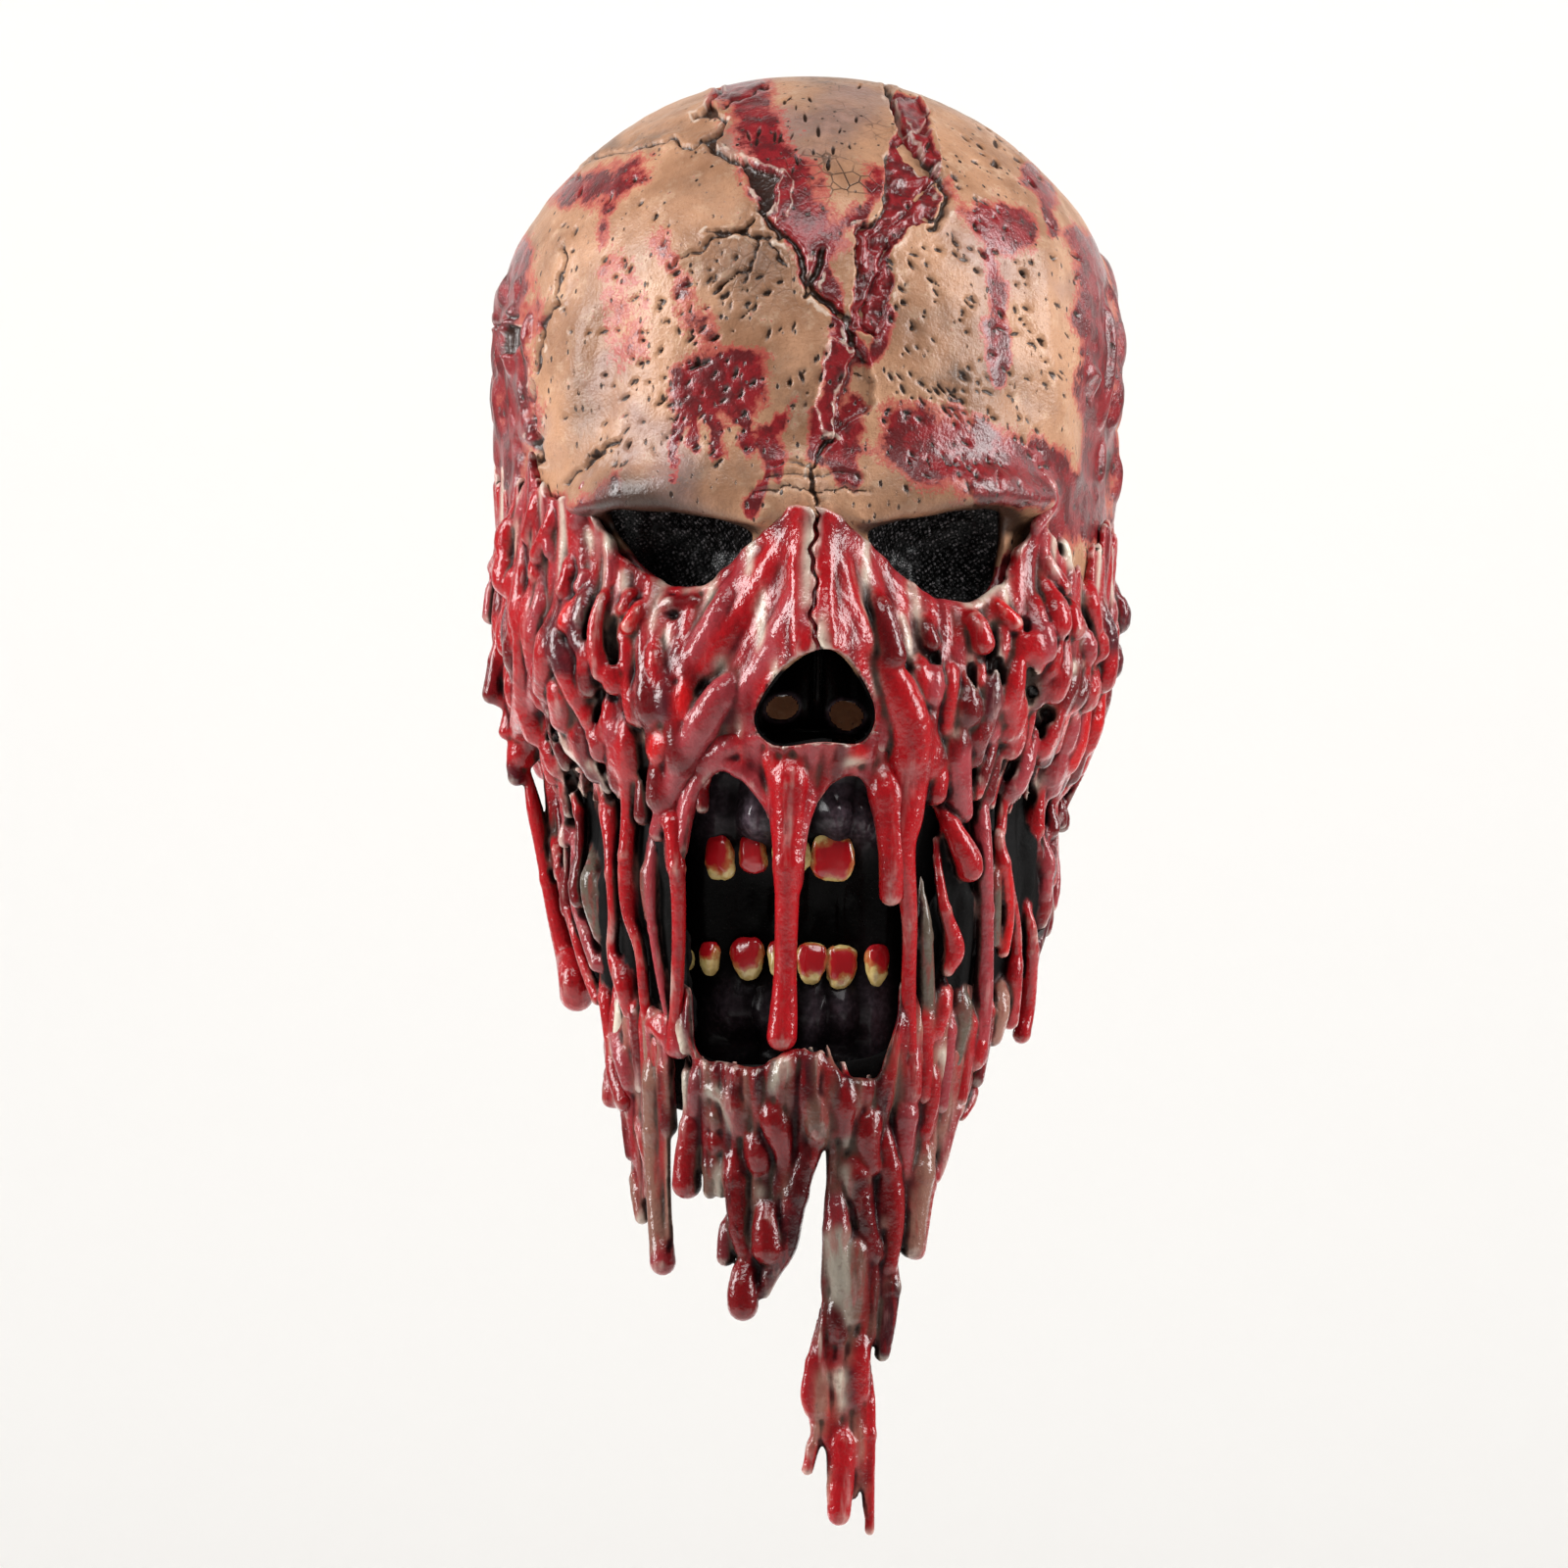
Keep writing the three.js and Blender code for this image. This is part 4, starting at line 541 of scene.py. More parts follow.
# Thick sheets of flesh that the chin's drips run down: paints in stripes, and x and drop round it.
Sheet = namedtuple("Sheet", "thick paints points")
CHIN_SHEETS = (
    Sheet(4, ("tan", "pink", "red"), (
        (-66, 294), (-65.2, 307), (-65.6, 314), (-64.4, 322), (-63.6, 330), (-59.5, 335), (-57.4, 344),
        (-55.5, 352), (-54, 359), (-52, 362), (-50, 361), (-48.6, 368), (-47, 374), (-44.4, 377),
        (-42.4, 374), (-43, 366), (-43.4, 356), (-43.4, 342), (-42.6, 334), (-43, 321), (-42.6, 311),
        (-43, 303), (-52, 298), (-60, 292),
    )),
    Sheet(4.4, ("deep", "maroon", "red", "tan"), (
        (-42, 292), (-37, 294), (-36, 304), (-35.4, 312), (-31.4, 316.6), (-27.4, 316.2), (-22.5, 317.4),
        (-15.2, 318), (-11.2, 315.3), (-2.3, 312), (1.5, 313.6), (5, 312.8), (7, 317.6), (13.9, 321.6),
        (20.4, 321.6), (22.8, 319.2), (24.4, 314), (28, 304), (29, 292), (34, 292), (33, 312), (28, 330),
        (23.6, 338), (14, 341), (6, 341.4), (4, 341), (0, 348), (-4, 362), (-6, 371), (-9.4, 376),
        (-13, 379), (-15.4, 384), (-19.2, 387), (-21.8, 383), (-22, 377), (-24.2, 373), (-25.2, 367),
        (-24.4, 359), (-25.4, 354), (-30.4, 353), (-36.3, 351), (-39.2, 346), (-38.8, 338), (-36.6, 331),
        (-36.6, 318), (-38.4, 311), (-41.5, 305),
    )),
    Sheet(4, ("red", "deep", "tan", "pink"), (
        (5.4, 330), (5.4, 345), (5.4, 357.5), (4.6, 373.7), (3.8, 386), (4.2, 394), (1.6, 408), (-0.6, 419),
        (-0.4, 423), (1.2, 428), (1, 434), (-0.6, 438.5), (0.2, 441.5), (2, 440), (3.4, 437), (5.4, 440),
        (5.8, 448), (6.6, 453), (8.8, 456), (11.4, 454), (13, 450), (14.4, 445), (15.8, 446), (16.8, 453),
        (17.4, 458), (18.4, 460), (19.2, 456), (19.4, 446), (19.6, 428), (19.6, 409), (21.5, 406), (24, 402),
        (26, 384), (27.3, 369.7), (26.9, 356), (23.6, 338), (22.8, 326), (14, 322),
    )),
    Sheet(4, ("tan", "pink", "tan", "red"), (
        (26, 314), (27, 330), (29.3, 352.6), (28.4, 366), (28.6, 371), (31, 373.5), (33.8, 371),
        (36.6, 365.6), (39, 352), (43.5, 342), (47, 335), (51, 327), (53.5, 318), (59, 311), (62, 303),
        (58, 294), (44, 292), (32, 296),
    )),
)
LIP_SHEET = (
    (-45, 214), (-20, 213), (0, 213), (26, 213), (29, 228), (27.6, 246), (24, 250), (22.3, 243), (20.5, 235),
    (18, 229.5), (14.6, 227), (10.5, 227.5), (6.5, 230.5), (3, 236), (0.3, 243), (-1, 252), (-2.4, 262),
    (-9.6, 262), (-10.8, 252), (-11.8, 243), (-13.5, 236), (-17, 230), (-21.5, 225.5), (-26.5, 224),
    (-30.5, 226), (-34, 231.5), (-36.8, 238), (-38.5, 246), (-39.5, 256), (-45, 256), (-46, 230),
)

# Borders of the skin on each cheek: degrees from the middle of the face, and drop.
CHEEK_TOPS = {
    "left": (
        (-2, 142), (3, 142), (6, 146), (10, 152), (12, 155), (15, 158.5), (18, 162), (22, 166), (26, 167),
        (30, 166), (34, 162.5), (38, 157), (41, 150), (44, 143), (47, 137), (55, 138), (67, 131), (78, 128),
        (90, 138), (114, 150),
    ),
    "right": (
        (-2, 142), (3, 142), (6, 146), (10, 151), (12, 153), (15, 157), (18, 161.5), (22, 167), (26, 170),
        (32, 171.6), (37, 169), (41, 163), (44, 154), (46, 149), (49, 147), (52, 151), (56, 157),
        (64, 159), (74, 155), (84, 150), (94, 148), (114, 150),
    ),
}
CHEEK_BOTTOM = (
    (-2, 217), (10, 217), (12, 218), (15, 220), (20, 226), (30, 236), (58, 236), (80, 232), (98, 220),
    (114, 182),
)

# Hollows left between the drips: x, drop and radius at both ends.
Pocket = namedtuple("Pocket", "paint x drop low_x low_drop radius")
POCKETS = (
    Pocket("olive", -60.5, 178, -60.5, 186, 1.9), Pocket("olive", -49.5, 209, -49.5, 219, 1.8),
    Pocket("olive", -38.5, 207, -40.5, 218, 2.2), Pocket("olive", -33.5, 193, -34, 194, 1.7),
    Pocket("cream", -77, 211, -74, 219, 4.4), Pocket("cream", -66, 221, -63, 226, 3.0),
    Pocket("deep", -73, 226, -72.5, 234, 3.2), Pocket("deep", -65, 230, -65, 234, 2.2),
    Pocket("deep", -46, 175, -44, 177, 2.0), Pocket("olive", -66.5, 176, -67, 186, 1.5),
    Pocket("olive", 38, 196, 37, 207, 1.9), Pocket("olive", 51, 192, 50.5, 204, 2.0),
    Pocket("olive", 58.5, 190, 58.5, 202, 2.2), Pocket("olive", 70, 198, 76, 206, 2.4),
    Pocket("maroon", 73.5, 177, 76.5, 181, 2.6), Pocket("deep", 87.5, 173, 87.8, 179, 1.6),
    Pocket("olive", 46, 228, 46.5, 230, 1.8), Pocket("maroon", 89, 202, 90, 212, 2.0),
)


def srgb(code):
    """A hex colour as the linear numbers that shaders work in."""
    parts = [int(code[i : i + 2], 16) / 255 for i in (1, 3, 5)]
    return tuple(c / 12.92 if c <= 0.04045 else ((c + 0.055) / 1.055) ** 2.4 for c in parts)


class MaskSizes(bpy.types.PropertyGroup):
    """Sizes of the mask that its maker would change."""

    wall: bpy.props.FloatProperty(
        name="Shell wall", description="Thickness of the latex shell",
        default=WALL * MM, min=0.001, max=0.006, unit="LENGTH",
    )
    flesh: bpy.props.FloatProperty(
        name="Flesh skin", description="Thickness of the skin of flesh under the drips",
        default=0.0026, min=0.001, max=0.006, unit="LENGTH",
    )
    cell: bpy.props.FloatProperty(
        name="Clay cell", description="Finest detail of the melted flesh",
        default=0.0008, min=0.0005, max=0.003, unit="LENGTH",
    )
    step: bpy.props.FloatProperty(
        name="Bone step", description="Spacing of the points on the front of the bone",
        default=0.0007, min=0.0004, max=0.004, unit="LENGTH",
    )
    small_drips: bpy.props.IntProperty(
        name="Small drips", description="Small drips on each cheek", default=150, min=0, max=400,
    )


def colour(name, description, code):
    """A colour that the panel shows."""
    return bpy.props.FloatVectorProperty(
        name=name, description=description, default=srgb(code), size=3, min=0, max=1, subtype="COLOR",
    )


class MaskColours(bpy.types.PropertyGroup):
    """Colours of the mask's paints."""

    bone: colour("Bone", "Latex cast in the colour of old bone", "#b58869")
    bone_dark: colour("Bone, dark", "Wash that settles between the raised parts", "#865e44")
    bruise: colour("Bruise", "Grey violet sprayed thinly over the bone", "#7c6a72")
    # The crack colour also paints the shade round the eyes.
    crack_and_shade: colour("Crack", "Brown wash in cracks and pits", "#2e1c13")
    blood: colour("Blood", "Thick blood paint", "#7c0d18")
    blood_thin: colour("Thin blood", "Blood paint wiped to a stain", "#a63c3a")
    cream: colour("Cream", "Unpainted rims of the flesh", "#e2d8c8")
    black: colour("Black", "Gloss black of the hollows", "#040303")
    ivory: colour("Ivory", "Tips of the teeth", "#c9b272")
    tooth_red: colour("Tooth red", "Gloss red over the teeth", "#a3121a")


# Shape of the head


def smooth_run(values, steps=120):
    """A smooth run of numbers through the given ones, as the CAD's curve makes it."""
    v = np.concatenate([[2 * values[0] - values[1]], values, [2 * values[-1] - values[-2]]])
    t = np.linspace(0, 1, steps, endpoint=False)[None, :]
    a, b, c, d = (v[i : len(v) - 3 + i, None] for i in range(4))
    start, end = (c - a) / 2, (d - b) / 2
    run = b + start * t + (3 * (c - b) - 2 * start - end) * t**2 + (2 * (b - c) + start + end) * t**3
    return np.append(run.ravel(), values[-1])


def closed_run(points, steps=24):
    """A smooth closed outline through the given points."""
    p = np.array(points, float)
    long = np.concatenate([p[-3:], p, p[:3]])
    run = np.stack([smooth_run(long[:, i], steps) for i in range(2)], 1)
    return run[3 * steps : (3 + len(p)) * steps]


HEAD_RUN = np.stack([smooth_run(np.array(column, float)) for column in zip(*HEAD_SECTIONS)])
HEAD_RUN[0] = np.maximum.accumulate(HEAD_RUN[0])


def half_width(drop):
    return np.interp(drop, HEAD_RUN[0], HEAD_RUN[1])


def smooth_section(angle, drop):
    """The head without the forms of its face."""
    turn = np.radians(angle)
    front, back = (np.interp(drop, HEAD_RUN[0], HEAD_RUN[i]) for i in (2, 3))
    reach = np.where(np.cos(turn) > 0, front, back)
    return np.stack([half_width(drop) * np.sin(turn), -reach * np.cos(turn), WALL - drop], -1)


def outward(surface, angle, drop):
    """Unit normals of a surface that is given by angle and drop."""
    turn, fall = 0.25, 0.25
    across = surface(angle + turn, drop) - surface(angle - turn, drop)
    down = surface(angle, drop + fall) - surface(angle, np.maximum(drop - fall, 0))
    normal = np.cross(down, across)
    return normal / np.maximum(np.linalg.norm(normal, axis=-1, keepdims=True), 1e-9)


def form_rise(angle, drop):
    rise = np.zeros(np.broadcast(angle, drop).shape)
    for form in FACE_FORMS.values():
        across, down = (angle - form.angle) / form.wide, (drop - form.drop) / form.tall
        rise += form.rise * np.exp(-(across**2) - down**2)
    return rise


def head_surface(angle, drop):
    rise = form_rise(angle, drop)[..., None]
    return smooth_section(angle, drop) + outward(smooth_section, angle, drop) * rise


def head_point(angle, drop, outside):
    angle, drop, outside = np.broadcast_arrays(
        np.asarray(angle, float), np.asarray(drop, float), np.asarray(outside, float)
    )
    return head_surface(angle, drop) + outward(head_surface, angle, drop) * outside[..., None]


def angle_across(x, drop, outside=0.0):
    return np.degrees(np.arcsin(np.clip(x / (half_width(drop) + outside), -0.999, 0.999)))


def smoothstep(value, low, high):
    t = np.clip((value - low) / (high - low), 0, 1)
    return t * t * (3 - 2 * t)


def rim_drop(angle):
    return NAPE_RIM + (CHIN_RIM - NAPE_RIM) * smoothstep(np.cos(np.radians(angle)), -0.3, 0.75)


def hang_clear(drop):
    return HANG_CLEAR * smoothstep(drop, HANG_START, HANG_FULL)


def grain(points, size, seed):
    """Smooth random numbers from -1 to 1 over points, with lumps of the given size."""
    p = np.asarray(points, float) / size + seed * 31.7
    cell = np.floor(p).astype(np.int64)
    part = p - cell
    part = part * part * (3 - 2 * part)
    total = np.zeros(p.shape[:-1])
    for corner in itertools.product((0, 1), repeat=p.shape[-1]):
        key = np.zeros(p.shape[:-1], np.uint32)
        weight = np.ones(p.shape[:-1])
        for axis, side in enumerate(corner):
            key = (key ^ (cell[..., axis] + side).astype(np.uint32)) * np.uint32(2654435761)
            key ^= key >> np.uint32(15)
            weight = weight * (part[..., axis] if side else 1 - part[..., axis])
        key = key * np.uint32(2246822519)
        key ^= key >> np.uint32(13)
        total += weight * (key / 2147483647.5 - 1)
    return total


def off_line(x, y, points):
    """Distance of each place from a line of points."""
    best = np.full(x.shape, 1e9)
    for (ax, ay), (bx, by) in zip(points, points[1:]):
        dx, dy = bx - ax, by - ay
        along = np.clip(((x - ax) * dx + (y - ay) * dy) / (dx * dx + dy * dy), 0, 1)
        best = np.minimum(best, np.hypot(x - ax - along * dx, y - ay - along * dy))
    return best


def inside(x, y, points):
    """True for each place inside a closed outline."""
    odd = np.zeros(x.shape, bool)
    for (ax, ay), (bx, by) in zip(points, np.roll(points, -1, 0)):
        spans = (ay > y) != (by > y)
        odd ^= spans & (x < ax + (y - ay) / np.where(by == ay, 1e-9, by - ay) * (bx - ax))
    return odd


def off_outline(x, y, points):
    """Distance from a closed outline, less than nothing inside it."""
    points = np.array(points, float)
    far = off_line(x, y, list(map(tuple, np.vstack([points, points[:1]]))))
    return np.where(inside(x, y, points), -far, far)


# Handling of meshes


def deselect():
    if bpy.context.object and bpy.context.object.mode != "OBJECT":
        bpy.ops.object.mode_set(mode="OBJECT")
    bpy.ops.object.select_all(action="DESELECT")


def grid(name, columns, rows):
    """A flat grid, and each of its points' column and row."""
    deselect()
    bpy.ops.mesh.primitive_grid_add(x_subdivisions=columns - 1, y_subdivisions=rows - 1, size=2)
    piece = bpy.context.object
    piece.name = piece.data.name = name
    flat = points_of(piece) * MM
    column = np.rint((flat[:, 0] + 1) / 2 * (columns - 1)).astype(int)
    row = np.rint((1 - flat[:, 1]) / 2 * (rows - 1)).astype(int)
    return piece, column, row


def set_points(piece, points):
    """Moves a piece's points to places in millimetres."""
    piece.data.vertices.foreach_set("co", (points * MM).astype(np.float32).ravel())
    piece.data.update()


def points_of(piece):
    """A piece's points, in millimetres."""
    points = np.zeros(len(piece.data.vertices) * 3, np.float32)
    piece.data.vertices.foreach_get("co", points)
    return points.reshape(-1, 3).astype(float) / MM


def normals_of(piece):
    normals = np.zeros(len(piece.data.vertices) * 3, np.float32)
    piece.data.vertex_normals.foreach_get("vector", normals)
    return normals.reshape(-1, 3).astype(float)


def edges_of(piece):
    edges = np.zeros(len(piece.data.edges) * 2, np.int32)
    piece.data.edges.foreach_get("vertices", edges)
    return edges.reshape(-1, 2)


def spread(values, edges, rounds):
    """Values evened out over a mesh's edges."""
    values = np.asarray(values, float)
    flat = values.reshape(len(values), -1)
    ends = np.concatenate([edges[:, 0], edges[:, 1]])
    others = np.concatenate([edges[:, 1], edges[:, 0]])
    count = np.maximum(np.bincount(ends, minlength=len(flat)), 1)
    for _ in range(rounds):
        flat = np.stack(
            [0.5 * c + 0.5 * np.bincount(ends, c[others], len(c)) / count for c in flat.T], 1
        )
    return flat.reshape(values.shape)


def keep_numbers(piece, name, colours):
    """Keeps four numbers a point on a piece, for its material to read."""
    layer = piece.data.attributes.new(name, "FLOAT_COLOR", "POINT")
    full = np.ones((len(colours), 4), np.float32)
    full[:, : colours.shape[1]] = colours
    layer.data.foreach_set("color", full.ravel())


def modify(piece, kind, **settings):
    """Adds a modifier and applies it."""
    deselect()
    piece.select_set(True)
    bpy.context.view_layer.objects.active = piece
    modifier = piece.modifiers.new(kind.title(), kind)
    for key, value in settings.items():
        setattr(modifier, key, value)
    bpy.ops.object.modifier_apply(modifier=modifier.name)


def edit(piece):
    """Opens a piece for editing, with nothing selected."""
    deselect()
    piece.select_set(True)
    bpy.context.view_layer.objects.active = piece
    bpy.ops.object.mode_set(mode="EDIT")
    bpy.ops.mesh.select_all(action="DESELECT")


def faces_of(piece):
    """Four corners a face. A face of three has its last one twice."""
    mesh = piece.data
    starts = np.zeros(len(mesh.polygons), np.int32)
    totals = np.zeros(len(mesh.polygons), np.int32)
    corners = np.zeros(len(mesh.loops), np.int32)
    mesh.polygons.foreach_get("loop_start", starts)
    mesh.polygons.foreach_get("loop_total", totals)
    mesh.loops.foreach_get("vertex_index", corners)
    return np.stack([corners[starts + np.minimum(i, totals - 1)] for i in range(4)], 1)


def remove_faces(piece, chosen):
    """Deletes the chosen faces, and merges what then meets."""
    edit(piece)
    bpy.ops.object.mode_set(mode="OBJECT")
    piece.data.polygons.foreach_set("select", chosen)
    bpy.ops.object.mode_set(mode="EDIT")
    bpy.ops.mesh.select_mode(type="FACE")
    bpy.ops.mesh.delete(type="FACE")
    bpy.ops.mesh.select_mode(type="VERT")
    bpy.ops.mesh.select_all(action="SELECT")
    bpy.ops.mesh.remove_doubles(threshold=0.02 * MM)
    bpy.ops.mesh.normals_make_consistent(inside=False)
    bpy.ops.object.mode_set(mode="OBJECT")


def thin(piece, most=190000):
    """Takes triangles out of a piece that has too many."""
    count = sum(len(p.vertices) - 2 for p in piece.data.polygons)
    if count > most:
        modify(piece, "DECIMATE", ratio=most / count)


def finish_piece(piece, node, material):
    """Smooths a piece's shading, paints it and puts it on the frame."""
    deselect()
    piece.select_set(True)
    bpy.context.view_layer.objects.active = piece
    bpy.ops.object.shade_smooth()
    piece.data.materials.clear()
    piece.data.materials.append(material)
    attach(piece, "root")
    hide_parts(node)


# Materials


STEP = {"interpolation_type": "SMOOTHSTEP"}
MIX = {"data_type": "RGBA"}


def node(tree, kind, inputs=(), **settings):
    """Adds a node and returns its outputs. Inputs are values or the sockets that feed it."""
    made = tree.nodes.new("ShaderNode" + kind)
    for key, value in settings.items():
        setattr(made, key, value)
    for key, value in inputs.items() if isinstance(inputs, dict) else enumerate(inputs):
        if isinstance(value, bpy.types.NodeSocket):
            tree.links.new(value, made.inputs[key])
        else:
            made.inputs[key].default_value = value
    return made.outputs


def new_material(name):
    """An empty material, what adds nodes to it, and its object coordinates."""
    material = bpy.data.materials.new(name)
    material.use_nodes = True
    material.node_tree.nodes.clear()
    add = functools.partial(node, material.node_tree)
    return material, add, add("TexCoord")["Object"]


def per(size):
    """Texture scale for features of a size in millimetres."""
    return 1 / (size * MM)


def rgba(linear):
    return (*linear, 1.0)


def bone_material(colours):
    """Cast latex, sponged in bone colours and dirt, darkened with painted shade round the eyes and along the
    brows, washed with brown in its cracks and pits, and splashed with glossy blood.
    """
    material, add, place = new_material("cast latex bone")
    masks = add("Attribute", attribute_name="paint")
    blood, crack_and_shade, bare = add("SeparateColor", [masks["Color"]])
    under = masks["Alpha"]
    dirt_shade_and_crazing = add("SeparateColor", [add("Attribute", attribute_name="dirt_shade_and_crazing")["Color"]])
    broad = add("TexNoise", {"Vector": place, "Scale": per(34), "Detail": 4, "Roughness": 0.6})[0]
    sponge = add("TexNoise", {"Vector": place, "Scale": per(7), "Detail": 5, "Roughness": 0.65})[0]
    fine = add("TexNoise", {"Vector": place, "Scale": per(1.6), "Detail": 3, "Roughness": 0.6})[0]
    grains = add("TexNoise", {"Vector": place, "Scale": per(0.9), "Detail": 2})[0]
    spray = {"Vector": place, "Scale": per(48), "Detail": 3, "W": 3.1}
    violet = add("TexNoise", spray, noise_dimensions="4D")[0]

    # Dirt sponged on, and painted shade along the brows, where the table marks them.
    dirt_and_shade = add("MapRange", (sponge, 0.3, 0.6, 0.3, 1), **STEP)[0]
    dirt_and_shade = add("Math", (dirt_shade_and_crazing[0], dirt_and_shade), operation="MULTIPLY")[0]
    crazing = add("TexVoronoi", {"Vector": place, "Scale": per(5)}, feature="DISTANCE_TO_EDGE")[0]
    crazing = add("MapRange", (crazing, 0.07, 0.02), **STEP)[0]
    crazing = add("Math", (crazing, dirt_shade_and_crazing[1]), operation="MULTIPLY")[0]
    crazed = add("MapRange", (broad, 0.4, 0.55), **STEP)[0]
    crazing = add("Math", (crazing, crazed), operation="MULTIPLY")[0]

    # Pits lean down and out on both sides, so they are laid out by the distance from the middle.
    x, y, z = add("SeparateXYZ", [place])
    lay = add("CombineXYZ", (add("Math", [x], operation="ABSOLUTE")[0], y, z))[0]
    slant = {"Vector": lay, "Rotation": (0, math.radians(-40), 0), "Scale": (per(3), per(3), per(6))}
    dots = add("TexVoronoi", {"Vector": add("Mapping", slant)[0], "Scale": 1.0})[0]
    dots = add("Math", (fine, 0.3, dots), operation="MULTIPLY_ADD")[0]
    dots = add("MapRange", (dots, 0.38, 0.28), **STEP)[0]
    pitted = add("MapRange", (sponge, 0.46, 0.56), **STEP)[0]
    pits = add("Math", (dots, pitted), operation="MULTIPLY")[0]
    pits = add("Math", (pits, crazing), operation="MAXIMUM")[0]

    edge = add("Math", (sponge, 0.5), operation="SUBTRACT")[0]
    edge = add("Math", (edge, 1.1, blood), operation="MULTIPLY_ADD")[0]
    speck = add("Math", (fine, 0.5), operation="SUBTRACT")[0]
    edge = add("Math", (speck, 0.5, edge), operation="MULTIPLY_ADD")[0]
    dry = add("Math", (grains, 0.6, edge), operation="MULTIPLY_ADD")[0]
    thick = add("MapRange", (edge, 0.4, 0.66, 0, 0.95), **STEP)[0]
    clot = add("MapRange", (sponge, 0.42, 0.6), **STEP)[0]
    clot = add("Mix", {0: clot, 6: rgba(colours.blood), 7: rgba(srgb("#4f0710"))}, **MIX)[2]

    base = rgba(colours.bone)
    for share, coat in (
        (add("MapRange", (broad, 0.35, 0.7), **STEP)[0], rgba(colours.bone_dark)),
        (add("MapRange", (sponge, 0.5, 0.75, 0, 0.35), **STEP)[0], rgba(srgb("#e3c8ab"))),
        (add("MapRange", (violet, 0.56, 0.72, 0, 0.5), **STEP)[0], rgba(colours.bruise)),
        (add("MapRange", (fine, 0.62, 0.8, 0, 0.3), **STEP)[0], rgba(colours.bone_dark)),
        (dirt_and_shade, rgba(srgb("#473a33"))),
        (add("MapRange", (grains, 0.54, 0.7, 0, 0.4), **STEP)[0], rgba(colours.bone_dark)),
        (add("MapRange", (dry, 0.48, 0.72, 0, 0.7), **STEP)[0], rgba(colours.blood_thin)),
        (thick, clot),
        (pits, rgba(colours.crack_and_shade)),
        (add("MapRange", (under, 0.3, 0.7), **STEP)[0], rgba(colours.black)),
        (add("MapRange", (bare, 0.5, 0.95, 0, 0.6), **STEP)[0], rgba(srgb("#d3bfae"))),
        # Brown in the cracks and pits, and painted shade round the eyes.
        (add("MapRange", (crack_and_shade, 0.3, 0.8, 0, 0.95), **STEP)[0], rgba(colours.crack_and_shade)),
    ):
        base = add("Mix", {0: share, 6: base, 7: coat}, **MIX)[2]

    rough = add("Math", (fine, 0.3, 0.32), operation="MULTIPLY_ADD")[0]
    rough = add("Mix", {0: thick, 2: rough, 3: 0.24})[0]
    rough = add("Mix", {0: under, 2: rough, 3: 0.8})[0]
    gloss = add("Math", (thick, 0.4, 0.45), operation="MULTIPLY_ADD")[0]
    open_bone = add("MapRange", (under, 0.2, 0.6, 1, 0), **STEP)[0]
    gloss = add("Math", (gloss, open_bone), operation="MULTIPLY")[0]
    grit = add("Math", (sponge, 0.6, fine), operation="MULTIPLY_ADD")[0]
    grit = add("Math", (grains, 0.5, grit), operation="MULTIPLY_ADD")[0]
    grit = add("Math", (pits, -1.2, grit), operation="MULTIPLY_ADD")[0]
    bump = add("Bump", {"Height": grit, "Strength": 0.5, "Distance": 0.5 * MM})[0]
    shader = add("BsdfPrincipled", {
        "Base Color": base, "Roughness": rough, "Normal": bump, "IOR": 1.5, "Specular IOR Level": 0.15,
        "Coat Weight": gloss, "Coat Roughness": 0.3, "Coat Normal": bump,
    })
    add("OutputMaterial", [shader[0]])
    return material


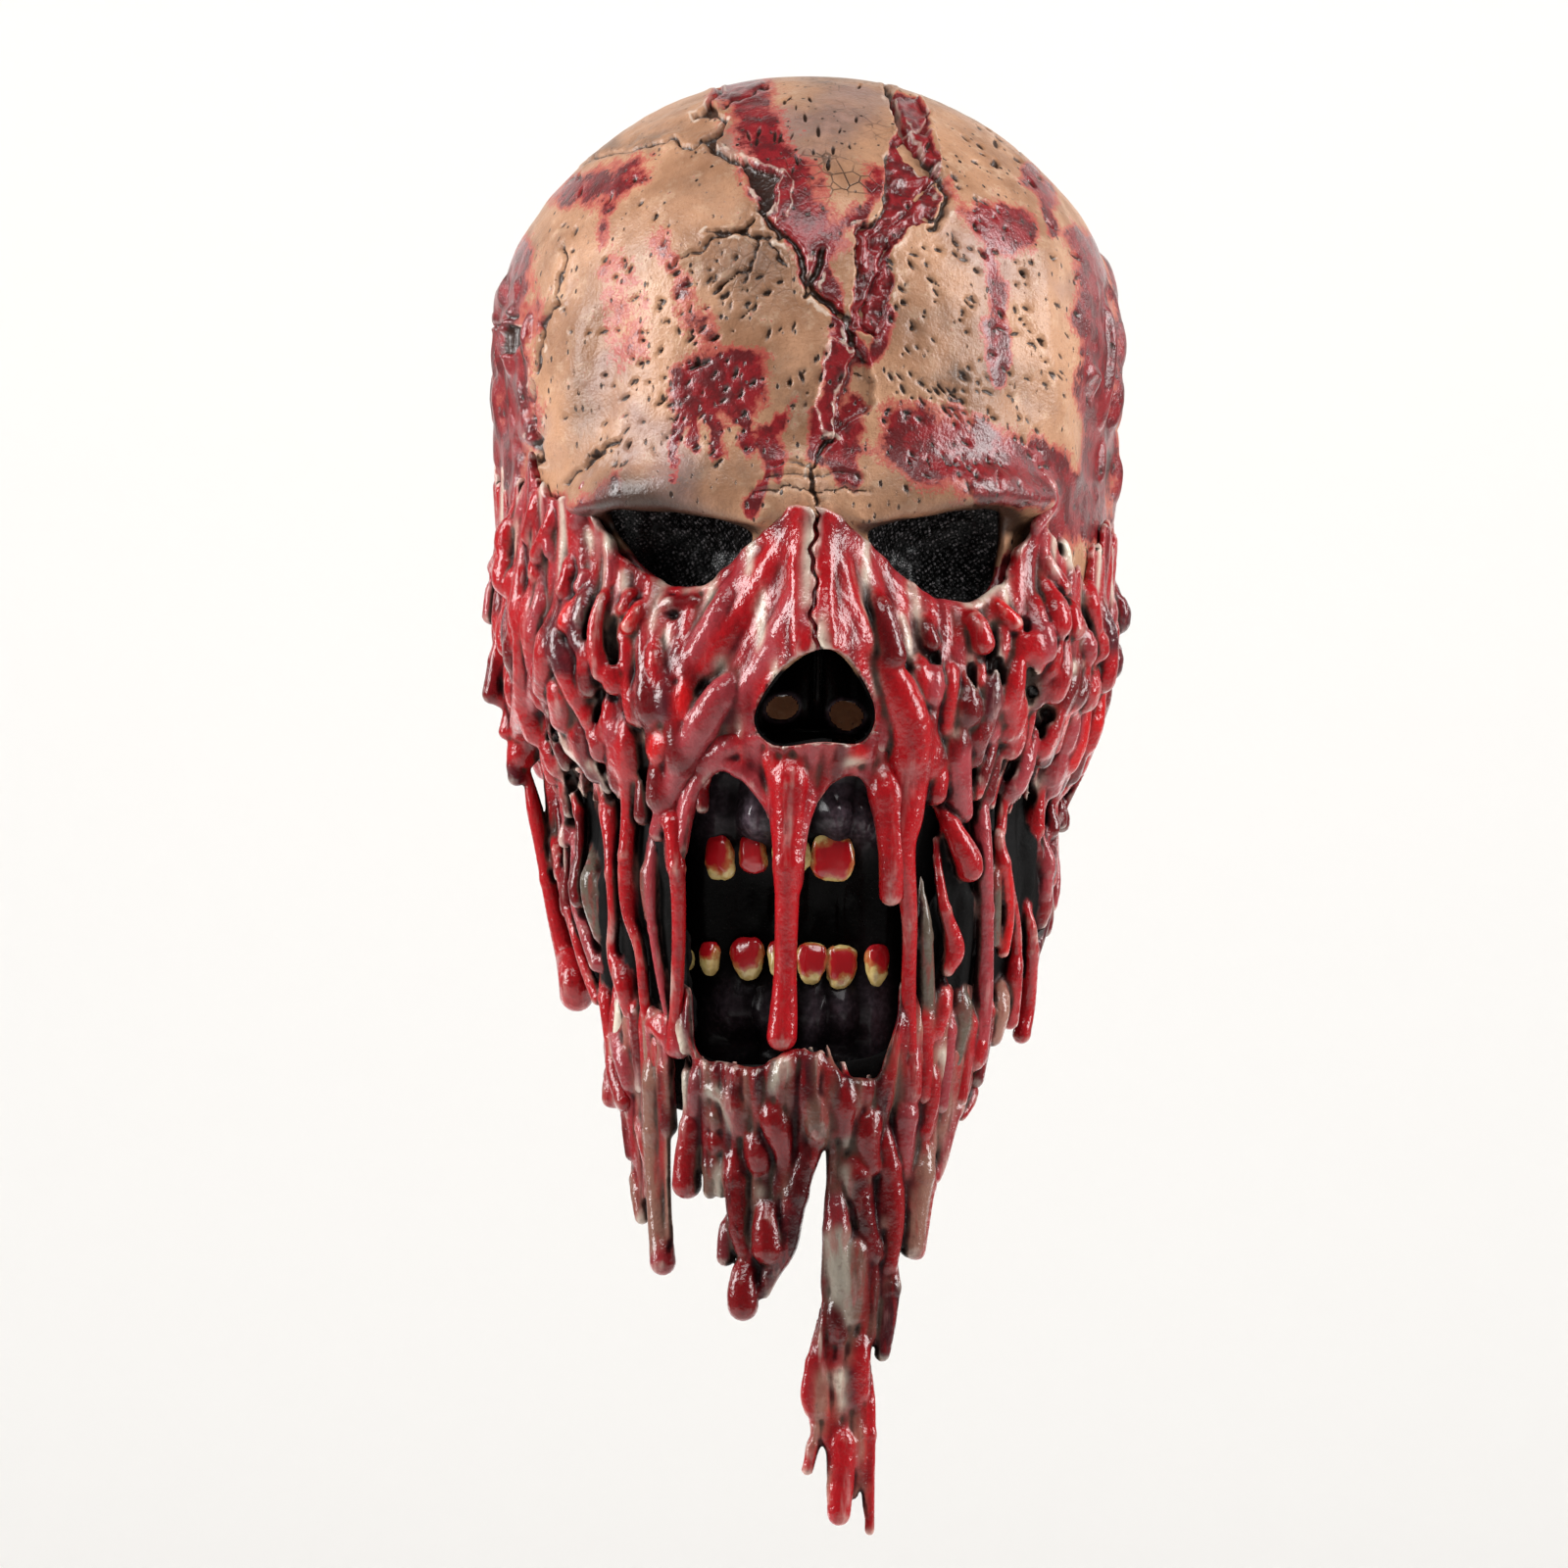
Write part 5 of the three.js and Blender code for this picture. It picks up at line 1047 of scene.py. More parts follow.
def flesh_material(colours):
    """Poured latex, brushed wet in reds with bare cream rims, darkened with painted shade in its hollows,
    and varnished.
    """
    material, add, place = new_material("poured latex flesh")
    form = add("Attribute", attribute_name="form")["Color"]
    ridge, hollow, deep = add("SeparateColor", [form])
    long = add("Mapping", {"Vector": place, "Scale": (per(7), per(7), per(36))})[0]
    streak = add("TexNoise", {"Vector": long, "Scale": 1.0, "Detail": 4, "Roughness": 0.6})[0]
    fine = add("TexNoise", {"Vector": place, "Scale": per(2.2), "Detail": 3, "Roughness": 0.6})[0]
    cloud = add("TexNoise", {"Vector": place, "Scale": per(14), "Detail": 3})[0]
    brush = {"Vector": long, "Scale": 1.7, "Detail": 3, "W": 2.0}
    runs = add("TexNoise", brush, noise_dimensions="4D")[0]
    pale = add("Math", (streak, 0.8, ridge), operation="MULTIPLY_ADD")[0]
    hollow_shade = add("MapRange", (cloud, 0.44, 0.56), **STEP)[0]
    hollow_shade = add("Mix", {0: hollow_shade, 6: rgba(srgb("#3a3029")), 7: rgba(srgb("#24060a"))}, **MIX)[2]

    base = add("Attribute", attribute_name="tint")["Color"]
    for share, coat in (
        (add("MapRange", (streak, 0.56, 0.74, 0, 0.45), **STEP)[0], rgba(srgb("#b07a78"))),
        (add("MapRange", (runs, 0.52, 0.62, 0, 0.45), **STEP)[0], rgba(srgb("#7e0c12"))),
        (add("MapRange", (cloud, 0.52, 0.7, 0, 0.5), **STEP)[0], rgba(srgb("#6e0a12"))),
        (add("MapRange", (pale, 1.1, 1.4, 0, 0.4), **STEP)[0], rgba(colours.cream)),
        # Painted shade: the hollows go brown, then near black where they are deepest.
        (add("MapRange", (hollow, 0.34, 0.75, 0, 0.88), **STEP)[0], hollow_shade),
        (add("MapRange", (hollow, 0.7, 1, 0, 0.9), **STEP)[0], rgba(srgb("#0c0506"))),
        (add("MapRange", (fine, 0.54, 0.72, 0, 0.3), **STEP)[0], rgba(srgb("#3d060a"))),
        (add("MapRange", (deep, 0.5, 0.95), **STEP)[0], rgba(colours.black)),
    ):
        base = add("Mix", {0: share, 6: base, 7: coat}, **MIX)[2]

    rough = add("MapRange", (fine, 0.3, 0.75, 0.24, 0.48), **STEP)[0]
    rough = add("Mix", {0: deep, 2: rough, 3: 0.7})[0]
    sunk = add("Math", (deep, hollow), operation="MAXIMUM")[0]
    varnish = add("MapRange", (sunk, 0.3, 0.6, 0.7, 0), **STEP)[0]
    lumps = add("TexNoise", {"Vector": place, "Scale": per(5), "Detail": 3, "Roughness": 0.6})[0]
    lumps = add("Math", (fine, 0.35, lumps), operation="MULTIPLY_ADD")[0]
    bump = add("Bump", {"Height": lumps, "Strength": 0.7, "Distance": 0.9 * MM})[0]
    shader = add("BsdfPrincipled", {
        "Base Color": base, "Roughness": rough, "Normal": bump, "IOR": 1.5, "Specular IOR Level": 0.12,
        "Coat Weight": varnish, "Coat Roughness": 0.1, "Coat Normal": bump,
    })
    add("OutputMaterial", [shader[0]])
    return material


def black_material(colours):
    """Black latex under varnish, nearly lost in the dark, with a painted purple-grey sheen on its bulges."""
    material, add, place = new_material("varnished black latex")
    fine = add("TexNoise", {"Vector": place, "Scale": per(2), "Detail": 3})[0]
    sheen_mask = add("SeparateColor", [add("Attribute", attribute_name="paint")["Color"]])[0]
    uneven = add("MapRange", (fine, 0.3, 0.7, 0.4, 1), **STEP)[0]
    sheen_mask = add("Math", (sheen_mask, uneven), operation="MULTIPLY")[0]
    # Painted sheen: purple grey where the sheen mask is set, on the gum bulges and the nostril rims.
    base = add("Mix", {0: sheen_mask, 6: rgba(colours.black), 7: rgba(srgb("#6a5a64"))}, **MIX)[2]
    rough = add("MapRange", (fine, 0.3, 0.7, 0.16, 0.3), **STEP)[0]
    bump = add("Bump", {"Height": fine, "Strength": 0.3, "Distance": 0.4 * MM})[0]
    shader = add("BsdfPrincipled", {
        "Base Color": base, "Roughness": rough, "Normal": bump, "IOR": 1.45, "Specular IOR Level": 0.05,
        "Coat Weight": sheen_mask, "Coat Roughness": 0.12,
    })
    add("OutputMaterial", [shader[0]])
    return material


def tooth_material(colours):
    """Latex teeth in dirty ivory, under gloss red that thins to orange at its edge."""
    material, add, place = new_material("painted latex tooth")
    red = add("SeparateColor", [add("Attribute", attribute_name="paint")["Color"]])[0]
    fine = add("TexNoise", {"Vector": place, "Scale": per(2.4), "Detail": 4, "Roughness": 0.6})[0]
    edge = add("Math", (fine, 0.8, red), operation="MULTIPLY_ADD")[0]
    base = rgba(colours.ivory)
    for share, coat in (
        (add("MapRange", (fine, 0.4, 0.75, 0, 0.6), **STEP)[0], rgba(srgb("#8f6a2e"))),
        (add("MapRange", (edge, 0.5, 0.8, 0, 0.85), **STEP)[0], rgba(srgb("#a8401f"))),
        (add("MapRange", (edge, 0.8, 1.15), **STEP)[0], rgba(colours.tooth_red)),
    ):
        base = add("Mix", {0: share, 6: base, 7: coat}, **MIX)[2]
    shader = add("BsdfPrincipled", {"Base Color": base, "Roughness": 0.2, "IOR": 1.5, "Coat Weight": 0.4})
    add("OutputMaterial", [shader[0]])
    return material


def gauze_material():
    """Stiff black gauze: fine crossed threads, with painted glints that make some of them bright dots."""
    material, add, _ = new_material("woven black gauze")
    cloth = add("UVMap", uv_map="UVMap")[0]
    # Threads 1.1 mm apart, about twice the real spacing, so that the weave shows in the render.
    turn = {"Vector": cloth, "Rotation": (0, 0, math.radians(32)), "Scale": (1 / 1.1, 1 / 1.1, 1)}
    turned = add("Mapping", turn)[0]
    weave = {"Vector": turned, "Scale": 1.0, "Randomness": 0.45}
    threads = add("TexVoronoi", weave, voronoi_dimensions="2D")[0]
    threads = add("MapRange", (threads, 0.5, 0.25), **STEP)[0]
    # Painted glints: patches of the threads are coloured light grey, as if they caught the light.
    glint = add("TexNoise", {"Vector": turned, "Scale": 0.7, "Detail": 4, "Roughness": 0.8})[0]
    glint = add("MapRange", (glint, 0.47, 0.7), **STEP)[0]
    lit = add("Math", (threads, glint), operation="MULTIPLY")[0]
    base = add("Mix", {0: lit, 6: rgba(srgb("#030303")), 7: rgba(srgb("#8f8a8c"))}, **MIX)[2]
    bump = add("Bump", {"Height": threads, "Strength": 0.9, "Distance": 0.5 * MM})[0]
    shader = add("BsdfPrincipled", {
        "Base Color": base, "Roughness": 0.3, "Normal": bump, "Specular IOR Level": 0.15,
    })
    add("OutputMaterial", [shader[0]])
    return material


def floor_material():
    """Matt white studio paper."""
    material, add, _ = new_material("matt studio paper")
    shader = add("BsdfPrincipled", {"Base Color": rgba(srgb("#f4f2ef")), "Roughness": 0.9})
    add("OutputMaterial", [shader[0]])
    return material


# Bone shell


def bone_surface(angle, drop):
    """The head with the low ridges and dents of its casting."""
    x = half_width(drop) * np.sin(np.radians(angle))
    face = smoothstep(np.cos(np.radians(angle)), 0, 0.2)
    rise = sum(row.rise * np.exp(-((off_line(x, drop, row.points) / row.reach) ** 2)) for row in RIDGES)
    return head_surface(angle, drop) + outward(head_surface, angle, drop) * (rise * face)[:, None]


def bone_columns():
    """Angles of the shell's columns, close over the face and wide behind."""
    front = np.arange(-78, 78.01, 0.4)
    side = np.arange(79.2, 112, 1.2)
    back = np.linspace(113, 247, 34)
    return np.concatenate([front, side, back, -side[::-1] + 360, [282]]) - 0.0


def bone_drops(step):
    """Drops of the shell's rows on the middle of the face, close above the mouth."""
    reach = (HEAD_RUN[1] + HEAD_RUN[2]) / 2
    arc = np.concatenate([[0], np.cumsum(np.hypot(np.diff(HEAD_RUN[0]), np.diff(reach)))])
    mouth, rim = np.interp([216, CHIN_RIM], HEAD_RUN[0], arc)
    rows = np.concatenate([np.arange(0, mouth, step), np.arange(mouth, rim, 2.6), [rim]])
    return rows / rim, arc


def bone_detail(x, drop, angle, place):
    """How far breaks, pits and brush lumps move the bone, and the masks that paint them."""
    rng = np.random.default_rng(11)
    rise = 0.5 * grain(place, 16, 1) + 0.22 * grain(place, 5, 2)
    blood = np.zeros(len(x))
    crack_and_shade = np.zeros(len(x))
    pit = np.zeros(len(x))
    bare = np.zeros(len(x))
    face = np.cos(np.radians(angle)) > 0
    wobble = np.stack([x, drop], -1)
    jag_x = x + 0.9 * grain(wobble, 3, 5) + 0.4 * grain(wobble, 1.2, 15)
    jag_y = drop + 0.9 * grain(wobble, 3, 6) + 0.4 * grain(wobble, 1.2, 16)
    for row in CRACKS:
        far = off_line(jag_x, jag_y, row.points)
        gap = np.where(face, 1 - smoothstep(far, 0.3 * row.half, row.half + 0.3), 0)
        lip = np.where(face, np.exp(-(((far - row.half - 1.2) / 0.9) ** 2)), 0)
        rise += 0.35 * lip * (1 - gap) - row.depth * gap
        crack_and_shade = np.maximum(crack_and_shade, gap * min(1, 0.5 + row.depth / 3))
        patchy = smoothstep(grain(wobble, 3, 14), -0.2, 0.7)
        bare = np.maximum(bare, lip * (1 - gap) * (row.depth > 1.7) * patchy)
    for row in CHIPS:
        far = off_outline(jag_x, jag_y, row.points)
        part = np.where(face, 1 - smoothstep(far, -0.4, 0.4), 0)
        lip = np.where(face, np.exp(-(((far - 0.9) / 0.8) ** 2)), 0)
        rise += row.rise * part + 0.5 * lip * (1 - part) * (row.rise < 0)
        bare = np.maximum(bare, lip * (row.rise < 0) * smoothstep(grain(wobble, 4, 33), -0.3, 0.6))
        if row.rise == TORN:
            blood = np.maximum(blood, 1.15 * np.where(face, 1 - smoothstep(far, -0.6, 0.8), 0))
            rise += part * (1.1 * grain(wobble, 4, 41) + 0.5 * grain(wobble, 1.8, 42))
        if row.rise < -2:
            crack_and_shade = np.maximum(crack_and_shade, part)
        elif row.rise < 0:
            crack_and_shade = np.maximum(crack_and_shade * (1 - 0.7 * part), 0.5 * part * (far > -1.2))
        else:
            bare = np.maximum(bare, 0.8 * np.exp(-((far / 0.7) ** 2)) * face)
    torn_x = 9 * grain(place, 17, 22) + 4 * grain(place, 6, 25)
    torn_y = 14 * grain(place, 19, 23) + 6 * grain(place, 6, 24)
    ahead = np.cos(np.radians(angle))
    temple = smoothstep(np.abs(x) + torn_x - 5 * (x > 0), 85, 92) * smoothstep(drop + torn_y, 52, 70)
    temple *= (1 - smoothstep(drop + torn_y, 136, 156)) * smoothstep(ahead + 0.016 * torn_y, -0.25, 0.05)
    temple *= smoothstep(ahead, -0.36, -0.2)
    strips = grain(np.stack([angle * 1.5, drop * 0.2], -1), 4, 21)
    rise += temple * np.where(strips > 0, 3.4 * np.sqrt(np.abs(strips)), 1.6 * strips)
    torn = np.where(temple > 0, temple * (0.62 + 0.7 * strips), 0)
    crack_and_shade = np.maximum(crack_and_shade, temple * smoothstep(-strips, 0.45, 0.8))
    bare = np.maximum(bare, 0.7 * temple * smoothstep(strips, 0.55, 0.9))
    # Painted shade: dark brown at the outer corners of the eyes, where the brows cast their shadow, and
    # round the tops of the eye openings, under the brows.
    for side in (-67, 71):
        crack_and_shade = np.maximum(crack_and_shade, face * 0.95 * np.exp(-(((x - side) / 5.5) ** 2) - ((drop - 151) / 9) ** 2))
    for outline in (EYE_LEFT, EYE_RIGHT):
        far = off_outline(x, drop, closed_run(outline, 5))
        reach = np.interp(x, [-62, -45, -20, 20, 70], [11, 8.5, 6, 6, 7.5])
        shade = 0.95 * np.exp(-((far / reach) ** 2)) * (1 - smoothstep(drop, 147, 156))
        crack_and_shade = np.maximum(crack_and_shade, face * shade)
    for row in PITS:
        for _ in range(int(0.75 * row.count)):
            px = row.x + row.wide * np.clip(rng.normal(0, 0.5), -1, 1)
            py = row.drop + row.tall * np.clip(rng.normal(0, 0.5), -1, 1)
            long, short = rng.uniform(0.6, 1.9) ** 1.2, rng.uniform(0.4, 0.8)
            lean = math.radians(row.lean + rng.normal(0, 18))
            depth = rng.uniform(0.5, 1.5)
            near = np.flatnonzero(face & (np.abs(x - px) < 4) & (np.abs(drop - py) < 4))
            if not len(near):
                continue
            dx, dy = x[near] - px, drop[near] - py
            along = dx * math.sin(lean) - dy * math.cos(lean)
            aside = dx * math.cos(lean) + dy * math.sin(lean)
            far = np.hypot(along / long, aside / short)
            dent = 1 - smoothstep(far, 0.4, 1.5)
            rise[near] -= depth * dent
            pit[near] = np.maximum(pit[near], dent * min(1, 0.35 + depth / 1.4))
    smear_x = x + 3.2 * grain(wobble, 11, 8) + 1.4 * grain(wobble, 3.4, 9)
    smear_y = drop + 3.2 * grain(wobble, 12, 10) + 2.4 * grain(wobble * (1, 0.25), 2.6, 12)
    for row in BLOOD:
        far = off_line(smear_x, smear_y, row.points) / row.half
        blood = np.maximum(blood, np.where(face, row.strength * (1 - smoothstep(far, 0.2, 1.3)), 0))
    # Dirt, and painted shade along the brows.
    dark, crazed = np.zeros(len(x)), np.zeros(len(x))
    for row in DIRT_AND_BROW_SHADE:
        across, down = (smear_x - row.x) / row.wide, (smear_y - row.drop) / row.tall
        spot = np.where(face, np.exp(-(across**2) - down**2), 0)
        dark, crazed = np.maximum(dark, row.dark * spot), np.maximum(crazed, row.crazed * spot)
    return rise, np.clip(np.maximum(blood, torn), 0, 1), np.maximum(crack_and_shade, pit), bare, dark, crazed


class MASK_OT_skull(bpy.types.Operator):
    """Models the cracked bone shell with its openings"""

    bl_idname = "mask.skull"
    bl_label = "Bone shell"

    def execute(self, context):
        sizes, colours = context.scene.mask_sizes, context.scene.mask_colours
        columns = bone_columns()
        share, arc = bone_drops(sizes.step / MM)
        piece, column, row = grid("bone_shell", len(columns), len(share))
        angle = columns[column]
        angle = np.where(angle > 180, angle - 360, angle)
        length = np.interp(rim_drop(angle), HEAD_RUN[0], arc)
        drop = np.interp(share[row] * length, arc, HEAD_RUN[0])
        x = half_width(drop) * np.sin(np.radians(angle))

        # Faces in an opening go, and the points round it move to its outline.
        faces = faces_of(piece)
        ahead = np.abs(angle) < 80
        gone = np.zeros(len(faces), bool)
        moved_x, moved_drop = x.copy(), drop.copy()
        for outline in (EYE_LEFT, EYE_RIGHT, NOSE, MOUTH):
            line = closed_run(outline)
            within = inside(x, drop, line) & ahead
            cut = within[faces].sum(1) >= 2
            gone |= cut
            round_it = np.zeros(len(x), bool)
            round_it[faces[cut].ravel()] = True
            for i in np.flatnonzero(round_it):
                nearest = line[np.argmin(np.hypot(line[:, 0] - x[i], line[:, 1] - drop[i]))]
                if np.hypot(nearest[0] - x[i], nearest[1] - drop[i]) < 3.2:
                    moved_x[i], moved_drop[i] = nearest
        shifted = (moved_x != x) | (moved_drop != drop)
        angle = np.where(shifted, angle_across(moved_x, moved_drop), angle)
        drop = np.where(shifted, moved_drop, drop)
        place = bone_surface(angle, drop)
        place[row == 0] = (0, 0, WALL)
        set_points(piece, place)
        for name, values in (("angle", angle), ("drop", drop)):
            made = piece.data.attributes.new(name, "FLOAT", "POINT")
            made.data.foreach_set("value", values.astype(np.float32))
        remove_faces(piece, gone)
        modify(piece, "SOLIDIFY", thickness=sizes.wall, offset=-1, use_even_offset=False)

        kept = {}
        for name in ("angle", "drop"):
            kept[name] = np.zeros(len(piece.data.vertices), np.float32)
            piece.data.attributes[name].data.foreach_get("value", kept[name])
        angle, drop = kept["angle"].astype(float), kept["drop"].astype(float)
        place, normal = points_of(piece), normals_of(piece)
        outer = np.linalg.norm(place - bone_surface(angle, drop), axis=1) < sizes.wall / MM / 2
        rise, blood, crack_and_shade, bare, dark, crazed = made = np.zeros((6, len(place)))
        at = np.flatnonzero(outer)
        made[:, at] = bone_detail(place[at, 0], drop[at], angle[at], place[at])
        edges = [off_outline(place[at, 0], drop[at], closed_run(o, 5)) for o in (EYE_LEFT, EYE_RIGHT, NOSE)]
        rim = (np.minimum(*np.abs(edges[:2])) < 3) & (np.abs(angle[at]) < 90)
        blood[at] = np.maximum(blood[at], rim * smoothstep(drop[at], 153, 160))
        crack_and_shade[~outer & (np.abs(angle) < 70) & (drop > 130) & (drop < 180)] = 0.9
        rise[at] *= smoothstep(np.abs(edges).min(0), 0.5, 3) * smoothstep(drop[at], 0.5, 4)
        place += normal * rise[:, None]
        set_points(piece, place)

        # What the flesh covers is black, so the gaps between its drips are dark.
        edge = 4 * grain(np.stack([angle, drop], -1), 9, 3)
        bearings = [0, 14, 28, 48, 75, 94, 108, 118, 180]
        low = np.interp(np.abs(angle), bearings, [190, 190, 184, 178, 170, 178, 208, 280, 300])
        under = smoothstep(drop + edge, low - 2, low + 6) * (outer | (np.abs(angle) < 50))
        keep_numbers(piece, "paint", np.stack([blood, crack_and_shade, bare, under], 1))
        keep_numbers(piece, "dirt_shade_and_crazing", np.stack([dark, crazed, dark], 1))
        for name in ("angle", "drop"):
            piece.data.attributes.remove(piece.data.attributes[name])
        thin(piece)
        finish_piece(piece, "skull_shell", bone_material(colours))
        return {"FINISHED"}


# Melted flesh


class Clay:
    """A block of cells that hold the distance to the flesh and its paint."""

    FAR = 4.0

    def __init__(self, low, high, cell):
        self.low, self.cell = np.array(low, float), cell
        self.shape = tuple(np.ceil((np.array(high) - low) / cell).astype(int) + 1)
        self.gap = np.full(self.shape, self.FAR, np.float32)
        self.paint = np.zeros(self.shape, np.int8)

    def block(self, low, high):
        """The cells between two corners, and their places along each axis."""
        first = np.maximum(np.floor((low - self.low) / self.cell).astype(int), 0)
        last = np.minimum(np.ceil((high - self.low) / self.cell).astype(int) + 1, self.shape)
        if np.any(last <= first):
            return None, None
        parts = tuple(slice(a, b) for a, b in zip(first, last))
        lines = [self.low[i] + self.cell * np.arange(first[i], last[i]) for i in range(3)]
        return parts, np.meshgrid(*(a.astype(np.float32) for a in lines), indexing="ij", sparse=True)

    def tube(self, points, radii, margin):
        """Distance to a rounded tube through points, in the block round it."""
        reach = radii.max() + margin
        parts, (x, y, z) = self.block(points.min(0) - reach, points.max(0) + reach)
        if parts is None:
            return None, None
        best = np.full(np.broadcast(x, y, z).shape, 1e3, np.float32)
        for a, b, ra, rb in zip(points, points[1:], radii, radii[1:]):
            d = b - a
            along = ((x - a[0]) * d[0] + (y - a[1]) * d[1] + (z - a[2]) * d[2]) / max(d @ d, 1e-6)
            along = np.clip(along, 0, 1)
            far = np.sqrt(sum((p - a[i] - along * d[i]) ** 2 for i, p in enumerate((x, y, z))))
            np.minimum(best, far - (ra + (rb - ra) * along), out=best)
        return parts, best

    def add(self, parts, gap, paint, soft):
        """Joins a shape to the flesh with a soft fillet."""
        old = self.gap[parts]
        mixed = np.maximum(soft - np.abs(old - gap), 0) / soft
        self.paint[parts] = np.where(gap < old, paint, self.paint[parts])
        self.gap[parts] = np.minimum(old, gap) - mixed * mixed * soft / 4

    def carve(self, parts, gap, paint, soft):
        """Takes a shape out of the flesh and paints the hollow."""
        old = self.gap[parts]
        mixed = np.maximum(soft - np.abs(old + gap), 0) / soft
        self.paint[parts] = np.where(gap < 0.9, paint, self.paint[parts])
        self.gap[parts] = np.maximum(old, -gap) + mixed * mixed * soft / 4

    def over_head(self, stride=4):
        """Each cell's height over the head, its angle and its drop, filled in from every few cells."""
        axes = [self.low[i] + self.cell * np.arange(self.shape[i]) for i in range(3)]
        coarse = [np.append(a[::stride], a[-1]) for a in axes]
        x, y, z = np.meshgrid(*coarse, indexing="ij")
        drop = WALL - z
        front, back = (np.interp(drop, HEAD_RUN[0], HEAD_RUN[i]) for i in (2, 3))
        reach = np.where(y < 0, front, back)
        angle = np.degrees(np.arctan2(x / half_width(drop), -y / reach))
        place = np.stack([x, y, z], -1)
        height = ((place - head_surface(angle, drop)) * outward(head_surface, angle, drop)).sum(-1)
        fields = []
        for field in (height, angle):
            for i in range(3):
                at = np.interp(axes[i], coarse[i], np.arange(len(coarse[i])))
                base = np.minimum(at.astype(int), len(coarse[i]) - 2)
                part = (at - base).reshape([-1 if k == i else 1 for k in range(3)]).astype(np.float32)
                field = field.astype(np.float32)
                field = np.take(field, base, i) * (1 - part) + np.take(field, base + 1, i) * part
            fields.append(field)
        return fields[0], fields[1], (WALL - axes[2]).astype(np.float32)[None, None, :]


def drip_run(row, gap=2.2):
    """Places and radii along a drip, whose root sinks into the flesh above it."""
    p = np.array(row.points, float)
    length = np.hypot(np.diff(p[:, 0]), np.diff(p[:, 1])).sum()
    steps = max(3, int(length / gap / (len(p) - 1)) + 1)
    x, drop, radius = (smooth_run(p[:, i], steps) for i in range(3))
    root = smoothstep(np.linspace(0, length, len(x)), -2, 0.6 * min(length, 26))
    radius = radius * (0.3 + 0.7 * root)
    outside = (0.45 * radius + row.lift) * root - (1 + 0.5 * p[0, 2]) * (1 - root) + hang_clear(drop)
    need = np.abs(x) / math.sin(math.radians(SIDE_ON)) - half_width(drop)
    outside = np.maximum(outside, need)
    return head_point(angle_across(x, drop, outside), drop, outside), radius


def small_drips(rng, side, count, tops):
    """Small drips that overlap like shingles down a cheek, below the top of its skin."""
    rows = []
    for _ in range(count):
        angle = side * rng.uniform(22, 114)
        bearing = abs(angle)
        top = np.interp(bearing, *zip(*tops)) + np.interp(bearing, [20, 44, 60], [14, 10, 6])
        bottom = np.interp(bearing, [20, 40, 60, 84, 114], [204, 206, 208, 206, 168])
        start = top + (bottom - top) * rng.uniform(0, 1)
        length = rng.uniform(12, 36)
        bulb = rng.uniform(2.1, 5)
        drop = np.linspace(start, start + length, max(5, int(length / 2)))
        share = np.linspace(0, 1, len(drop))
        sway = angle + side * rng.normal(0, 2) * share + rng.normal(0, 0.6) * np.sin(share * 4)
        radius = bulb * (0.22 + 0.2 * smoothstep(share, 0, 0.3) + 0.58 * smoothstep(share, 0.35, 0.9))
        lift = rng.uniform(0.6, 3.6) * smoothstep(share, -0.1, 0.7)
        outside = 0.5 * radius + lift - 0.6 + hang_clear(drop)
        paint = rng.choice(["red", "deep", "pink", "wet", "maroon"], p=[0.45, 0.25, 0.13, 0.06, 0.11])
        rows.append((paint, head_point(sway, drop, outside), radius))
    for _ in range(count // 8):
        angle = side * rng.uniform(66, 111)
        start = np.interp(abs(angle), [60, 80, 98, 114], [222, 216, 204, 178])
        end = min(start + rng.uniform(24, 66), rim_drop(angle) + 6)
        drop = np.linspace(start, end, 16)
        share = np.linspace(0, 1, 16)
        sway = angle + rng.normal(0, 3) * share + rng.normal(0, 1.2) * np.sin(share * 5)
        radius = rng.uniform(1.2, 2) * (1.1 - 0.5 * share + 0.9 * smoothstep(share, 0.7, 0.95))
        paint = rng.choice(["red", "deep", "pink", "maroon"])
        rows.append((paint, head_point(sway, drop, radius + rng.uniform(0, 2) + hang_clear(drop)), radius))
    return rows


def small_pockets(rng, side, count):
    """Small hollows between the drips of a cheek."""
    rows = []
    for _ in range(count):
        x, drop = side * rng.uniform(32, 88), rng.uniform(178, 226)
        fall = rng.uniform(6, 15)
        paint = rng.choice(["olive", "cream", "maroon"], p=[0.4, 0.1, 0.5])
        rows.append(Pocket(paint, x, drop, x + rng.normal(0, 1.2), drop + fall, rng.uniform(1.3, 2.5)))
    return rows


def lay_drip(clay, paint, points, radius, soft):
    """Adds a drip, whose upper part takes the paint that runs into it."""
    root = max(1, int(0.4 * len(points)))
    for name, part in ((ROOTS.get(paint, paint), slice(0, root + 1)), (paint, slice(root, None))):
        parts, gap = clay.tube(points[part], radius[part], soft + 2 * clay.cell)
        if parts is not None:
            clay.add(parts, gap, PAINT_NAMES.index(name), soft)


def rounded(first, second, soft):
    """The greater of two distances, with a rounded edge where they meet."""
    return np.maximum(first, second) + np.maximum(soft - np.abs(first - second), 0) ** 2 / (4 * soft)


def outline_edge(clay, outline):
    """Distance of each cell from an outline seen from the front, less than nothing inside it."""
    x = clay.low[0] + clay.cell * np.arange(clay.shape[0])
    drop = WALL - clay.low[2] - clay.cell * np.arange(clay.shape[2])
    x, drop = np.meshgrid(x, drop, indexing="ij")
    return off_outline(x, drop, closed_run(outline, 5))[:, None, :].astype(np.float32)


